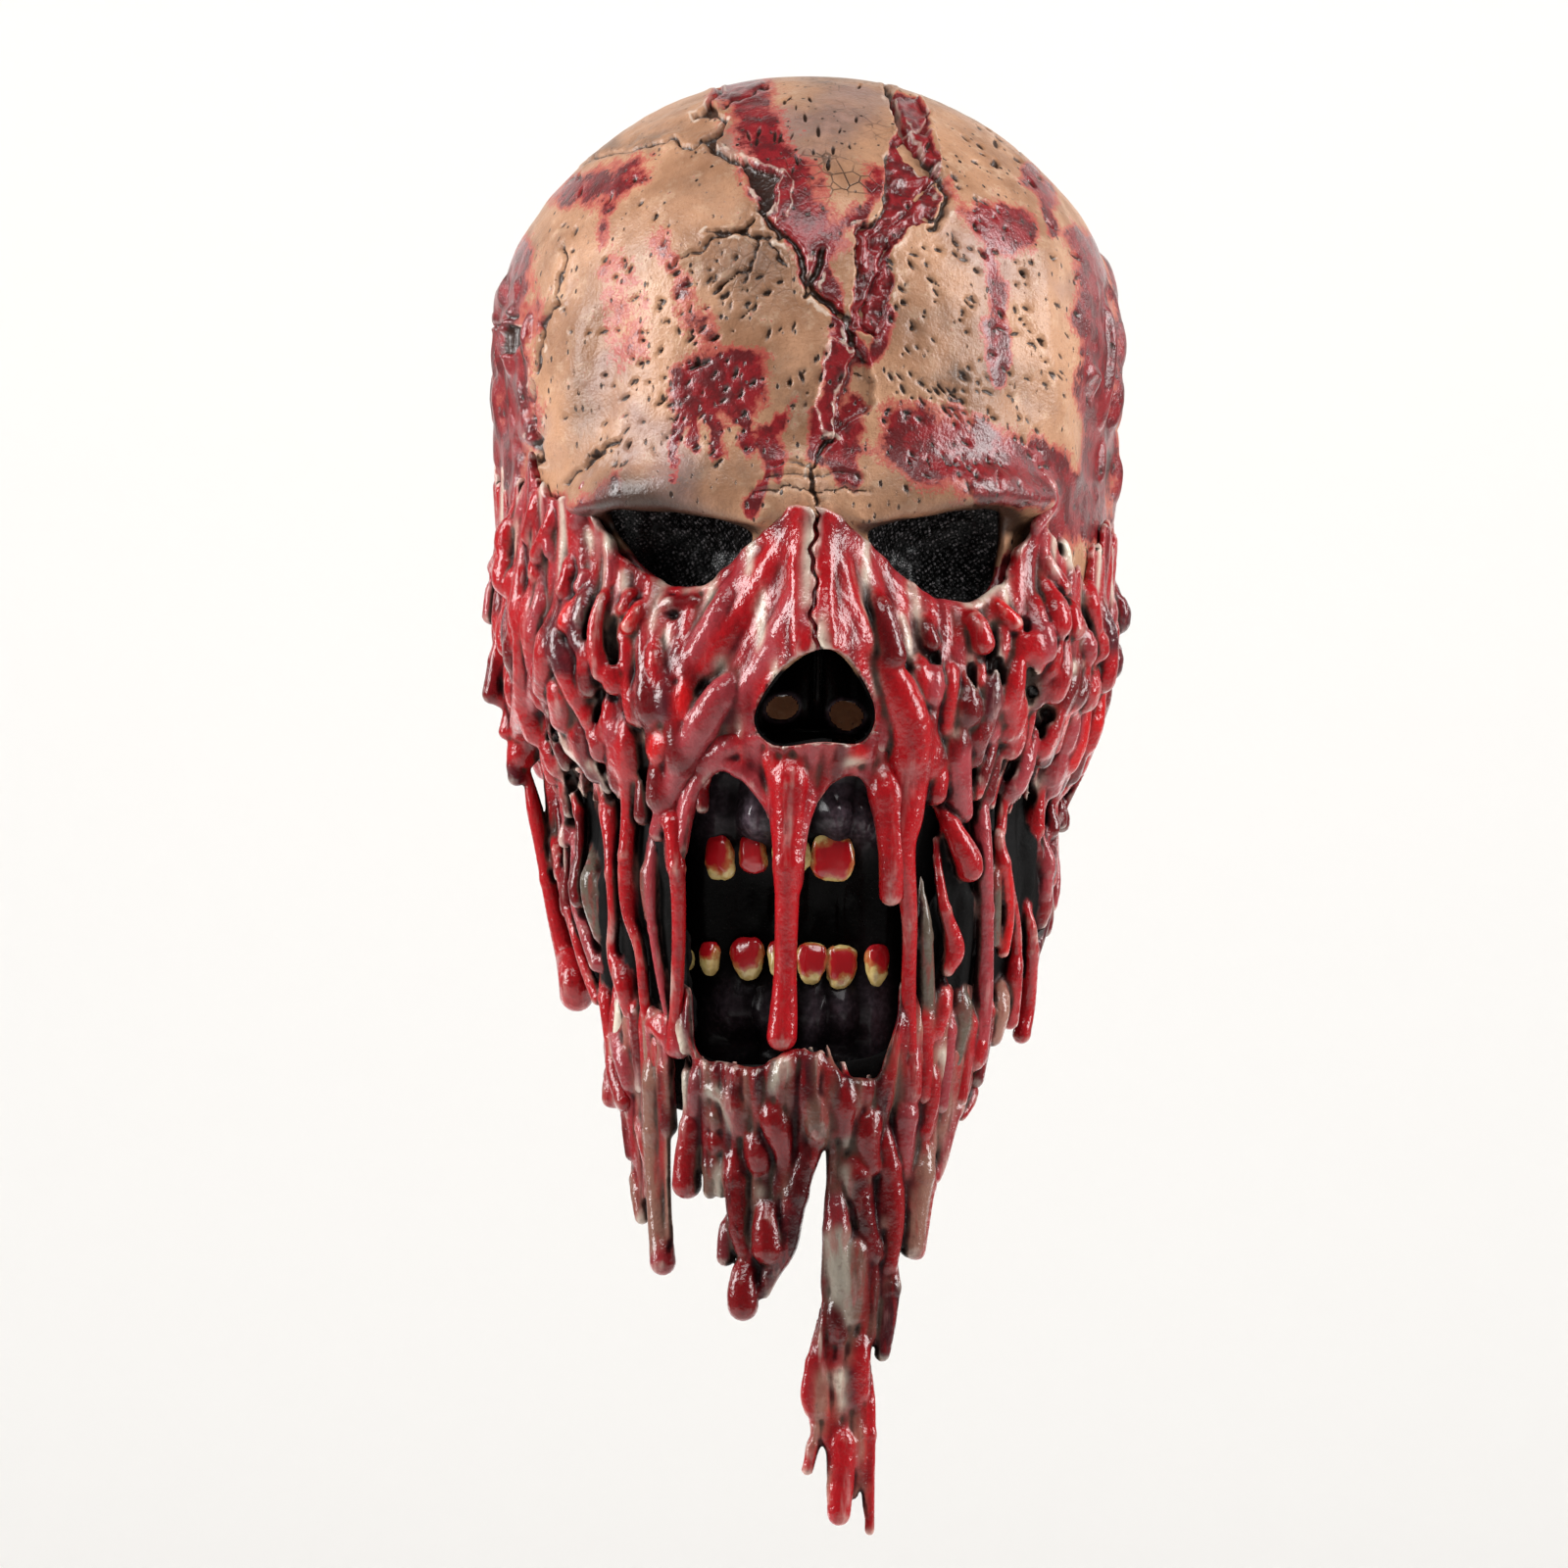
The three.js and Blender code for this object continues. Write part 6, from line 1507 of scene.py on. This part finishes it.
def band_edge(clay, top, bottom, first, last):
    """Distance of each cell from a ragged band between two angles and two drops given by angle."""
    _, angle, drop = clay.head
    angle = angle + 0.5 * np.sin(drop * 0.33) + 0.3 * np.sin(drop * 0.9)
    ragged = 5 * np.abs(np.sin(angle * 0.31 + 1)) + 3 * np.abs(np.sin(angle * 0.77)) - 4
    wave = 1.5 * np.sin(angle * 0.23) + 0.9 * np.sin(angle * 0.8) + 0.5 * np.sin(angle * 1.9 + 1)
    wave = wave * (0.25 + 4 * smoothstep(np.abs(angle), 52, 66))
    edge = np.maximum(np.interp(angle, *top) + wave - drop, drop - np.interp(angle, *bottom) + ragged)
    end = 4 * np.sin(drop * 0.21) + 2.5 * np.sin(drop * 0.47 + 1)
    before, after = first - angle + end * (first < -90), angle - last + end * (last > 90)
    return np.maximum(edge, np.maximum(before, after) * 1.6)


def lay_sheet(clay, edge, thick, paints, lift=0.3, flute=0.45):
    """Lays a fluted sheet of flesh on the head, striped in its paints, inside an edge."""
    height, angle, drop = clay.head
    lump = 0.7 * np.sin(angle * 0.9 + 2 * np.sin(drop * 0.06)) + 0.5 * np.sin(angle * 2.1 + drop * 0.11)
    flute = flute * (0.2 + 0.8 * smoothstep(np.abs(angle - 1) + (drop > 216) * 30, 12, 24))
    gap = np.abs(height - thick / 2 - lift - hang_clear(drop)) - thick / 2 - flute * lump
    stripe = 0.5 + 0.3 * np.sin(angle * 0.62 + 1.6 * np.sin(drop * 0.05))
    stripe = stripe + 0.2 * np.sin(angle * 1.7 + drop * 0.09)
    marks = np.array([PAINT_NAMES.index(paint) for paint in paints], np.int8)
    paint = marks[np.clip((stripe * len(paints)).astype(int), 0, len(paints) - 1)]
    clay.add((slice(None),) * 3, rounded(gap, edge, 0.7 * thick).astype(np.float32), paint, 1.5)


def cast(clay, name):
    """The flesh's surface as a piece, without loose crumbs, and the paint of its points."""
    np.maximum(clay.gap, -outline_edge(clay, NOSE), out=clay.gap)
    field = openvdb.FloatGrid(clay.FAR)
    field.copyFromArray(np.clip(clay.gap, -3, 3))
    points, _, quads = field.convertToPolygons(isovalue=0.0, adaptivity=0.0)
    group = np.arange(len(points))
    while True:
        lowest = group.copy()
        for i in range(4):
            np.minimum.at(lowest, quads[:, i], group[quads[:, i - 1]])
            np.minimum.at(lowest, quads[:, i - 1], group[quads[:, i]])
        lowest = lowest[lowest]
        if np.array_equal(lowest, group):
            break
        group = lowest
    names, sizes = np.unique(group, return_counts=True)
    kept = np.isin(group, names[sizes > 0.2 * sizes.max()])
    index = np.cumsum(kept) - 1
    quads = index[quads[kept[quads[:, 0]]]]
    points = points[kept].astype(float)
    paint = clay.paint[tuple(np.clip(np.rint(points).astype(int), 0, np.array(clay.shape) - 1).T)]
    mesh = bpy.data.meshes.new(name)
    mesh.from_pydata((points * clay.cell + clay.low) * MM, [], quads.tolist())
    piece = bpy.data.objects.new(name, mesh)
    bpy.context.scene.collection.objects.link(piece)
    return piece, paint


def paint_flesh(piece, paint, clay):
    """Gives the flesh its brushed paints with painted shade over the chin, and marks its ridges and its
    hollows, which its material paints as shade.
    """
    edges = edges_of(piece)
    points, normals = points_of(piece), normals_of(piece)
    shades = np.array([srgb(code) for code in PAINTS.values()])
    tint = spread(shades[paint], edges, 10)
    # Painted shade: the chin is darkened between drops of about 306 and 424, most across its middle, as it
    # lies in the shadow of the face above.
    drop = WALL - points[:, 2]
    shade = smoothstep(drop, 306, 326) * (1 - smoothstep(drop, 392, 424))
    tint *= 1 - (shade * np.interp(points[:, 0], [-44, -34, 24, 34], [0.28, 0.6, 0.6, 0.25]))[:, None]
    # Painted shade: hollow is high in creases and in crevices between drips, from the curvature and from how
    # little room there is along each normal; the material darkens it.
    near = ((spread(points, edges, 12) - points) * normals).sum(1)
    wide = ((spread(points, edges, 60) - points) * normals).sum(1)
    ridge = np.clip(0.5 - near / 1.3, 0, 1)
    hollow = np.clip(np.maximum(0.33 + wide / 1.8, 0.28 + near / 0.55), 0, 1)
    for reach in (1.8, 3):
        at = np.rint((points + reach * normals - clay.low) / clay.cell).astype(int)
        clear = clay.gap[tuple(np.clip(at, 0, np.array(clay.shape) - 1).T)] / reach
        hollow = np.maximum(hollow, np.clip(1.34 - 1.3 * clear, 0, 1))
    hollow = spread(hollow, edges, 1)
    soot = spread((paint == PAINT_NAMES.index("soot")).astype(float), edges, 3)
    keep_numbers(piece, "tint", tint)
    keep_numbers(piece, "form", np.stack([ridge, hollow, soot], 1))


class MASK_OT_flesh(bpy.types.Operator):
    """Models the melted flesh of both cheeks, the lip and the chin"""

    bl_idname = "mask.flesh"
    bl_label = "Melted flesh"

    def execute(self, context):
        sizes, colours = context.scene.mask_sizes, context.scene.mask_colours
        cell, thick = sizes.cell / MM, sizes.flesh / MM
        material = flesh_material(colours)
        for side, name, rows in ((-1, "left", LEFT_DRIPS), (1, "right", RIGHT_DRIPS)):
            rng = np.random.default_rng(31 + side)
            ends = sorted((side * 0.25 + 1, side * 114))
            wide = sorted((side * -6, side * 114))
            clay = Clay((wide[0], -140, -337), (wide[1], 66, -116), cell)
            clay.head = clay.over_head()
            order = slice(None, None, side)
            top = [(side * bearing, drop) for bearing, drop in CHEEK_TOPS[name]][order]
            bottom = [(side * bearing, drop) for bearing, drop in CHEEK_BOTTOM][order]
            edge = band_edge(clay, list(zip(*top)), list(zip(*bottom)), *ends)
            lay_sheet(clay, edge, thick, ("deep", "pink", "red", "red", "pink", "cream"))
            back = (side * np.array([30, 44, 60, 80, 100, 116]))[order]
            low = np.array([306, 304, 298, 288, 262, 236])[order]
            edge = band_edge(clay, (back, np.full(6, 224)), (back, low), *sorted((side * 32, side * 110)))
            lay_sheet(clay, edge, 2, ("soot",), -2.5)
            for paint, points, radius in small_drips(rng, side, sizes.small_drips, CHEEK_TOPS[name]):
                lay_drip(clay, paint, points, radius, 1.9)
            for row in (*POCKETS, *small_pockets(rng, side, 30)):
                if row.x * side > 0:
                    x, drop = np.array([row.x, row.low_x]), np.array([row.drop, row.low_drop])
                    points = head_point(angle_across(x, drop, 3), drop, 3.2)
                    parts, gap = clay.tube(points, np.array([0.7, 1.0]) * row.radius, 4)
                    clay.carve(parts, gap, PAINT_NAMES.index(row.paint), 1.2)
            for row in rows:
                lay_drip(clay, row.paint, *drip_run(row), 3.4 if row.lift < 0 else 1.4)
            piece, paint = cast(clay, f"flesh_cheek_{name}")
            paint_flesh(piece, paint, clay)
            thin(piece)
            finish_piece(piece, f"melt_cheek_{name}", material)

        clay = Clay((-47, -140, -320), (36, -84, -206), cell)
        clay.head = clay.over_head()
        lay_sheet(clay, outline_edge(clay, LIP_SHEET), thick + 0.6, ("red", "pink", "deep", "red"))
        for row in LIP_DRIPS:
            lay_drip(clay, row.paint, *drip_run(row), 2.2)
        piece, paint = cast(clay, "flesh_lip")
        paint_flesh(piece, paint, clay)
        finish_piece(piece, "melt_lip", material)

        clay = Clay((-82, -122, -474), (76, 16, -284), cell)
        clay.head = clay.over_head()
        side_on = (np.abs(clay.head[1]) - 74) * 1.1
        for row in CHIN_SHEETS:
            edge = np.maximum(outline_edge(clay, row.points), side_on)
            lift = 0.3 - 4 * (1 - smoothstep(clay.head[2], 290, 308))
            lay_sheet(clay, edge, row.thick, row.paints, lift, 0.6)
        for row in CHIN_DRIPS:
            lay_drip(clay, row.paint, *drip_run(row), 1.8)
        piece, paint = cast(clay, "flesh_chin")
        paint_flesh(piece, paint, clay)
        finish_piece(piece, "melt_chin", material)
        return {"FINISHED"}


# Eyes, nose and mouth


def patch_middle(share, down):
    """0 at a patch's edge and 1 over its middle."""
    across, along = np.minimum(share, 1 - share), np.minimum(down, 1 - down)
    return smoothstep(across, 0.1, 0.28) * smoothstep(along, 0.02, 0.16)


def patch_grid(name, patch, gap):
    """A grid over a patch of the head, with its places and shares."""
    columns = int((patch.high - patch.low) / gap) + 1
    rows = int((patch.bottom - patch.top) / gap) + 1
    piece, column, row = grid(name, columns, rows)
    share, down = column / (columns - 1), row / (rows - 1)
    x = patch.low + (patch.high - patch.low) * share
    drop = patch.top + (patch.bottom - patch.top) * down
    return piece, x, drop, share, down


class MASK_OT_eye_gauze(bpy.types.Operator):
    """Models the gauze behind both eye openings"""

    bl_idname = "mask.eye_gauze"
    bl_label = "Eye gauze"

    def execute(self, context):
        material = gauze_material()
        for name, patch, seed in (("left", GAUZE_LEFT, 1), ("right", GAUZE_RIGHT, 2)):
            piece, x, drop, share, down = patch_grid(f"gauze_{name}", patch, 0.7)
            place = head_point(angle_across(x, drop), drop, -WALL - SEAT_GAP)
            crease = 1.2 * grain(np.stack([x + 0.5 * drop, drop * 0.4], -1), 5, seed)
            crease = crease + 0.5 * grain(np.stack([x, drop], -1), 2.2, seed)
            place[:, 1] += (3.4 + crease) * patch_middle(share, down)
            set_points(piece, place)
            uv = piece.data.uv_layers.active.data
            corners = np.zeros(len(piece.data.loops), np.int32)
            piece.data.loops.foreach_get("vertex_index", corners)
            uv.foreach_set("uv", np.stack([x, drop], -1)[corners].astype(np.float32).ravel())
            piece.data.uv_layers.active.name = "UVMap"
            edit(piece)
            bpy.ops.mesh.select_all(action="SELECT")
            bpy.ops.mesh.normals_make_consistent(inside=False)
            bpy.ops.object.mode_set(mode="OBJECT")
            if normals_of(piece)[:, 1].mean() > 0:
                edit(piece)
                bpy.ops.mesh.select_all(action="SELECT")
                bpy.ops.mesh.flip_normals()
                bpy.ops.object.mode_set(mode="OBJECT")
            modify(piece, "SOLIDIFY", thickness=0.6 * MM, offset=-1)
            finish_piece(piece, f"eye_gauze_{name}", material)
        return {"FINISHED"}


def mouth_recess(x, drop):
    depth = np.full(np.shape(x), float(MOUTH_DEPTH))
    for gum in GUMS:
        depth = depth - (MOUTH_DEPTH - GUM_DEPTH) * np.exp(-(((drop - gum) / GUM_TALL) ** 2))
    share = (x - MOUTH_PATCH.low) / (MOUTH_PATCH.high - MOUTH_PATCH.low)
    down = (drop - MOUTH_PATCH.top) / (MOUTH_PATCH.bottom - MOUTH_PATCH.top)
    middle = patch_middle(share, down)
    return (WALL + SEAT_GAP) * (1 - middle) + depth * middle


class MASK_OT_linings(bpy.types.Operator):
    """Models the black linings of the nose and the mouth"""

    bl_idname = "mask.linings"
    bl_label = "Nose and mouth linings"

    def execute(self, context):
        material = black_material(context.scene.mask_colours)
        piece, x, drop, share, down = patch_grid("nose_hollow", NOSE_PATCH, 0.6)
        middle = patch_middle(share, down)
        bone = 5 * np.exp(-(((x - 2.5) / 2) ** 2)) * smoothstep(drop, 216, 200)
        place = head_point(angle_across(x, drop), drop, -WALL - SEAT_GAP)
        place[:, 1] += (NOSE_DEPTH - WALL - SEAT_GAP - bone) * middle
        faces = faces_of(piece)
        gone, rim = np.zeros(len(faces), bool), np.zeros(len(x))
        for nx, ny, radius in NOSTRILS:
            far = np.hypot(x - nx, (drop - ny) * 1.1)
            gone |= far[faces].mean(1) < radius
            rim = np.maximum(rim, np.exp(-(((far - radius - 0.4) / 0.8) ** 2)))
        place[:, 1] -= 0.7 * rim
        set_points(piece, place)
        # Painted sheen, light grey, on the raised rims of the nostrils.
        keep_numbers(piece, "paint", np.stack([0.3 * rim, rim * 0, rim * 0], 1))
        self.line(piece, gone)
        finish_piece(piece, "nose_lining", material)

        piece, x, drop, share, down = patch_grid("mouth_hollow", MOUTH_PATCH, 0.7)
        middle = patch_middle(share, down)
        lump, grey = np.zeros(len(x)), np.zeros(len(x))
        for gum in GUM_BULGES:
            bulge = np.exp(-(((x - gum.x) / gum.wide) ** 2) - ((drop - gum.drop) / gum.tall) ** 2)
            lump = np.maximum(lump, gum.rise * bulge)
            grey = np.maximum(grey, gum.grey * bulge)
        lump += 0.8 * grain(np.stack([x, drop * 0.5], -1), 5, 4)
        place = head_point(angle_across(x, drop), drop, -mouth_recess(x, drop) + lump * middle)
        set_points(piece, place)
        # Painted sheen on the gum bulges, for the material to read.
        keep_numbers(piece, "paint", np.stack([grey, grey * 0, grey * 0], 1))
        self.line(piece, np.zeros(len(piece.data.polygons), bool))
        finish_piece(piece, "mouth_lining", material)
        return {"FINISHED"}

    def line(self, piece, gone):
        """Cuts the holes of a lining, turns it to the front and gives it its wall."""
        remove_faces(piece, gone)
        if normals_of(piece)[:, 1].mean() > 0:
            edit(piece)
            bpy.ops.mesh.select_all(action="SELECT")
            bpy.ops.mesh.flip_normals()
            bpy.ops.object.mode_set(mode="OBJECT")
        modify(piece, "SOLIDIFY", thickness=LINING * MM, offset=-1)


class MASK_OT_teeth(bpy.types.Operator):
    """Models the teeth of both rows"""

    bl_idname = "mask.teeth"
    bl_label = "Teeth"

    def execute(self, context):
        material = tooth_material(context.scene.mask_colours)
        rng = np.random.default_rng(8)
        for kind, teeth in (("upper", UPPER_TEETH), ("lower", LOWER_TEETH)):
            for number, row in enumerate(teeth, 1):
                deselect()
                bpy.ops.mesh.primitive_uv_sphere_add(segments=40, ring_count=28, radius=1)
                piece = bpy.context.object
                piece.name = piece.data.name = f"tooth_{kind}_{number}"
                ball = points_of(piece) * MM
                square = np.sign(ball) * np.abs(ball) ** 0.72
                up = square[:, 2]
                taper = 1 - (0.14 * up if kind == "upper" else -0.26 * up) - 0.1 * up**2
                lean = rng.normal(0, 0.05)
                body = np.stack(
                    [square[:, 0] * row.width / 2 * taper + lean * up * row.height / 2,
                     square[:, 1] * TOOTH_DEPTH / 2 * (1 - 0.2 * up**2), up * row.height / 2], 1
                )
                body += (0.3 * grain(body, 3, number) + 0.25 * grain(body, 1.4, number + 40))[:, None] * ball
                angle = angle_across(row.x, row.drop)
                centre = head_point(angle, row.drop, TOOTH_DEPTH / 2 - mouth_recess(row.x, row.drop))
                facing = outward(head_surface, np.array(angle), np.array(float(row.drop)))
                turn = math.atan2(facing[0], -facing[1])
                cos, sin = math.cos(turn), math.sin(turn)
                x, y, z = body.T
                place = np.stack([x * cos - y * sin, x * sin + y * cos, z], 1)
                set_points(piece, place + centre)
                level = up + 0.3 * grain(body, 2.5, number + 20)
                red = smoothstep(level, row.low - 0.4, row.low + 0.4)
                red *= 1 - smoothstep(level, row.high - 0.4, row.high + 0.3)
                red *= 1 - 0.7 * smoothstep(np.abs(square[:, 0]), 0.6, 1.0)
                keep_numbers(piece, "paint", np.stack([red, red, red], 1))
                finish_piece(piece, f"tooth_{kind}_{number}", material)
        return {"FINISHED"}


# Stage


class MASK_OT_stage(bpy.types.Operator):
    """Sets the floor, the lights and the camera"""

    bl_idname = "mask.stage"
    bl_label = "Stage"

    # The photograph shows 1600 pixels at 3.15 to the millimetre, with its middle at this place.
    FRAME_WIDE = 1600 / 3.15 * MM
    AIM = (-7.6 * MM, 0, -226.2 * MM)
    CAMERA_AWAY = 3.6
    FLOOR = -0.95

    def execute(self, context):
        deselect()
        bpy.ops.mesh.primitive_plane_add(size=14, location=(0, 0, self.FLOOR))
        floor = context.object
        floor.name = "studio_floor"
        edit(floor)
        bpy.ops.mesh.select_mode(type="VERT")
        bpy.ops.object.mode_set(mode="OBJECT")
        for point in floor.data.vertices:
            point.select = point.co.y > 1
        bpy.ops.object.mode_set(mode="EDIT")
        bpy.ops.mesh.extrude_region_move(TRANSFORM_OT_translate={"value": (0, 0, 8)})
        bpy.ops.object.mode_set(mode="OBJECT")
        modify(floor, "BEVEL", width=2.0, segments=12, limit_method="ANGLE")
        bpy.ops.object.shade_smooth()
        floor.data.materials.append(floor_material())

        for name, place, size, power in (
            ("left softbox", (-1.45, -0.35, 0.4), (0.6, 1.3), 38),
            ("right softbox", (1.45, -0.35, 0.4), (0.6, 1.3), 34),
            ("top softbox", (0, -1.2, 1.3), (1.2, 0.7), 19),
            ("left paper light", (-2.4, 1.6, 0.8), (1.2, 1.2), 150),
            ("right paper light", (2.4, 1.6, 0.8), (1.2, 1.2), 150),
        ):
            bpy.ops.object.light_add(type="AREA", location=place)
            light = context.object
            light.name = name
            light.data.shape = "RECTANGLE"
            light.data.size, light.data.size_y = size
            light.data.energy = power
            target = (0, 5, 0.2) if "paper" in name else (0, 0, -0.2)
            aim = [a - p for a, p in zip(target, place)]
            away = math.hypot(aim[0], aim[1])
            light.rotation_euler = (math.atan2(away, -aim[2]), 0, math.atan2(-aim[0], aim[1]))

        world = context.scene.world or bpy.data.worlds.new("Studio")
        context.scene.world = world
        world.use_nodes = True
        ground = world.node_tree.nodes["Background"]
        ground.inputs[0].default_value = rgba(srgb("#ffffff"))
        ground.inputs[1].default_value = 0.09

        place = (self.AIM[0], -self.CAMERA_AWAY, self.AIM[2])
        bpy.ops.object.camera_add(location=place, rotation=(math.pi / 2, 0, 0))
        camera = context.object
        camera.data.sensor_width = 36
        camera.data.lens = camera.data.sensor_width * self.CAMERA_AWAY / self.FRAME_WIDE
        context.scene.camera = camera
        context.scene.view_settings.view_transform = "Standard"
        return {"FINISHED"}


class MASK_PT_panel(bpy.types.Panel):
    """Lists the mask's pieces, sizes and colours"""

    bl_idname = "MASK_PT_panel"
    bl_label = "Melting Skull Mask"
    bl_space_type = "VIEW_3D"
    bl_region_type = "UI"
    bl_category = "Mask"

    def draw(self, context):
        for operator in OPERATORS:
            self.layout.operator(operator.bl_idname)
        for group in (context.scene.mask_sizes, context.scene.mask_colours):
            box = self.layout.box()
            for name in group.__annotations__:
                box.prop(group, name)


OPERATORS = (
    MASK_OT_skull, MASK_OT_eye_gauze, MASK_OT_linings, MASK_OT_teeth, MASK_OT_flesh, MASK_OT_stage,
)
CLASSES = (MaskSizes, MaskColours, *OPERATORS, MASK_PT_panel)


def register():
    for item in CLASSES:
        bpy.utils.register_class(item)
    bpy.types.Scene.mask_sizes = bpy.props.PointerProperty(type=MaskSizes)
    bpy.types.Scene.mask_colours = bpy.props.PointerProperty(type=MaskColours)


def unregister():
    del bpy.types.Scene.mask_colours
    del bpy.types.Scene.mask_sizes
    for item in reversed(CLASSES):
        bpy.utils.unregister_class(item)


def main():
    register()
    bpy.ops.mask.skull()
    bpy.ops.mask.eye_gauze()
    bpy.ops.mask.linings()
    bpy.ops.mask.teeth()
    bpy.ops.mask.flesh()
    bpy.ops.mask.stage()


if __name__ == "__main__":
    main()
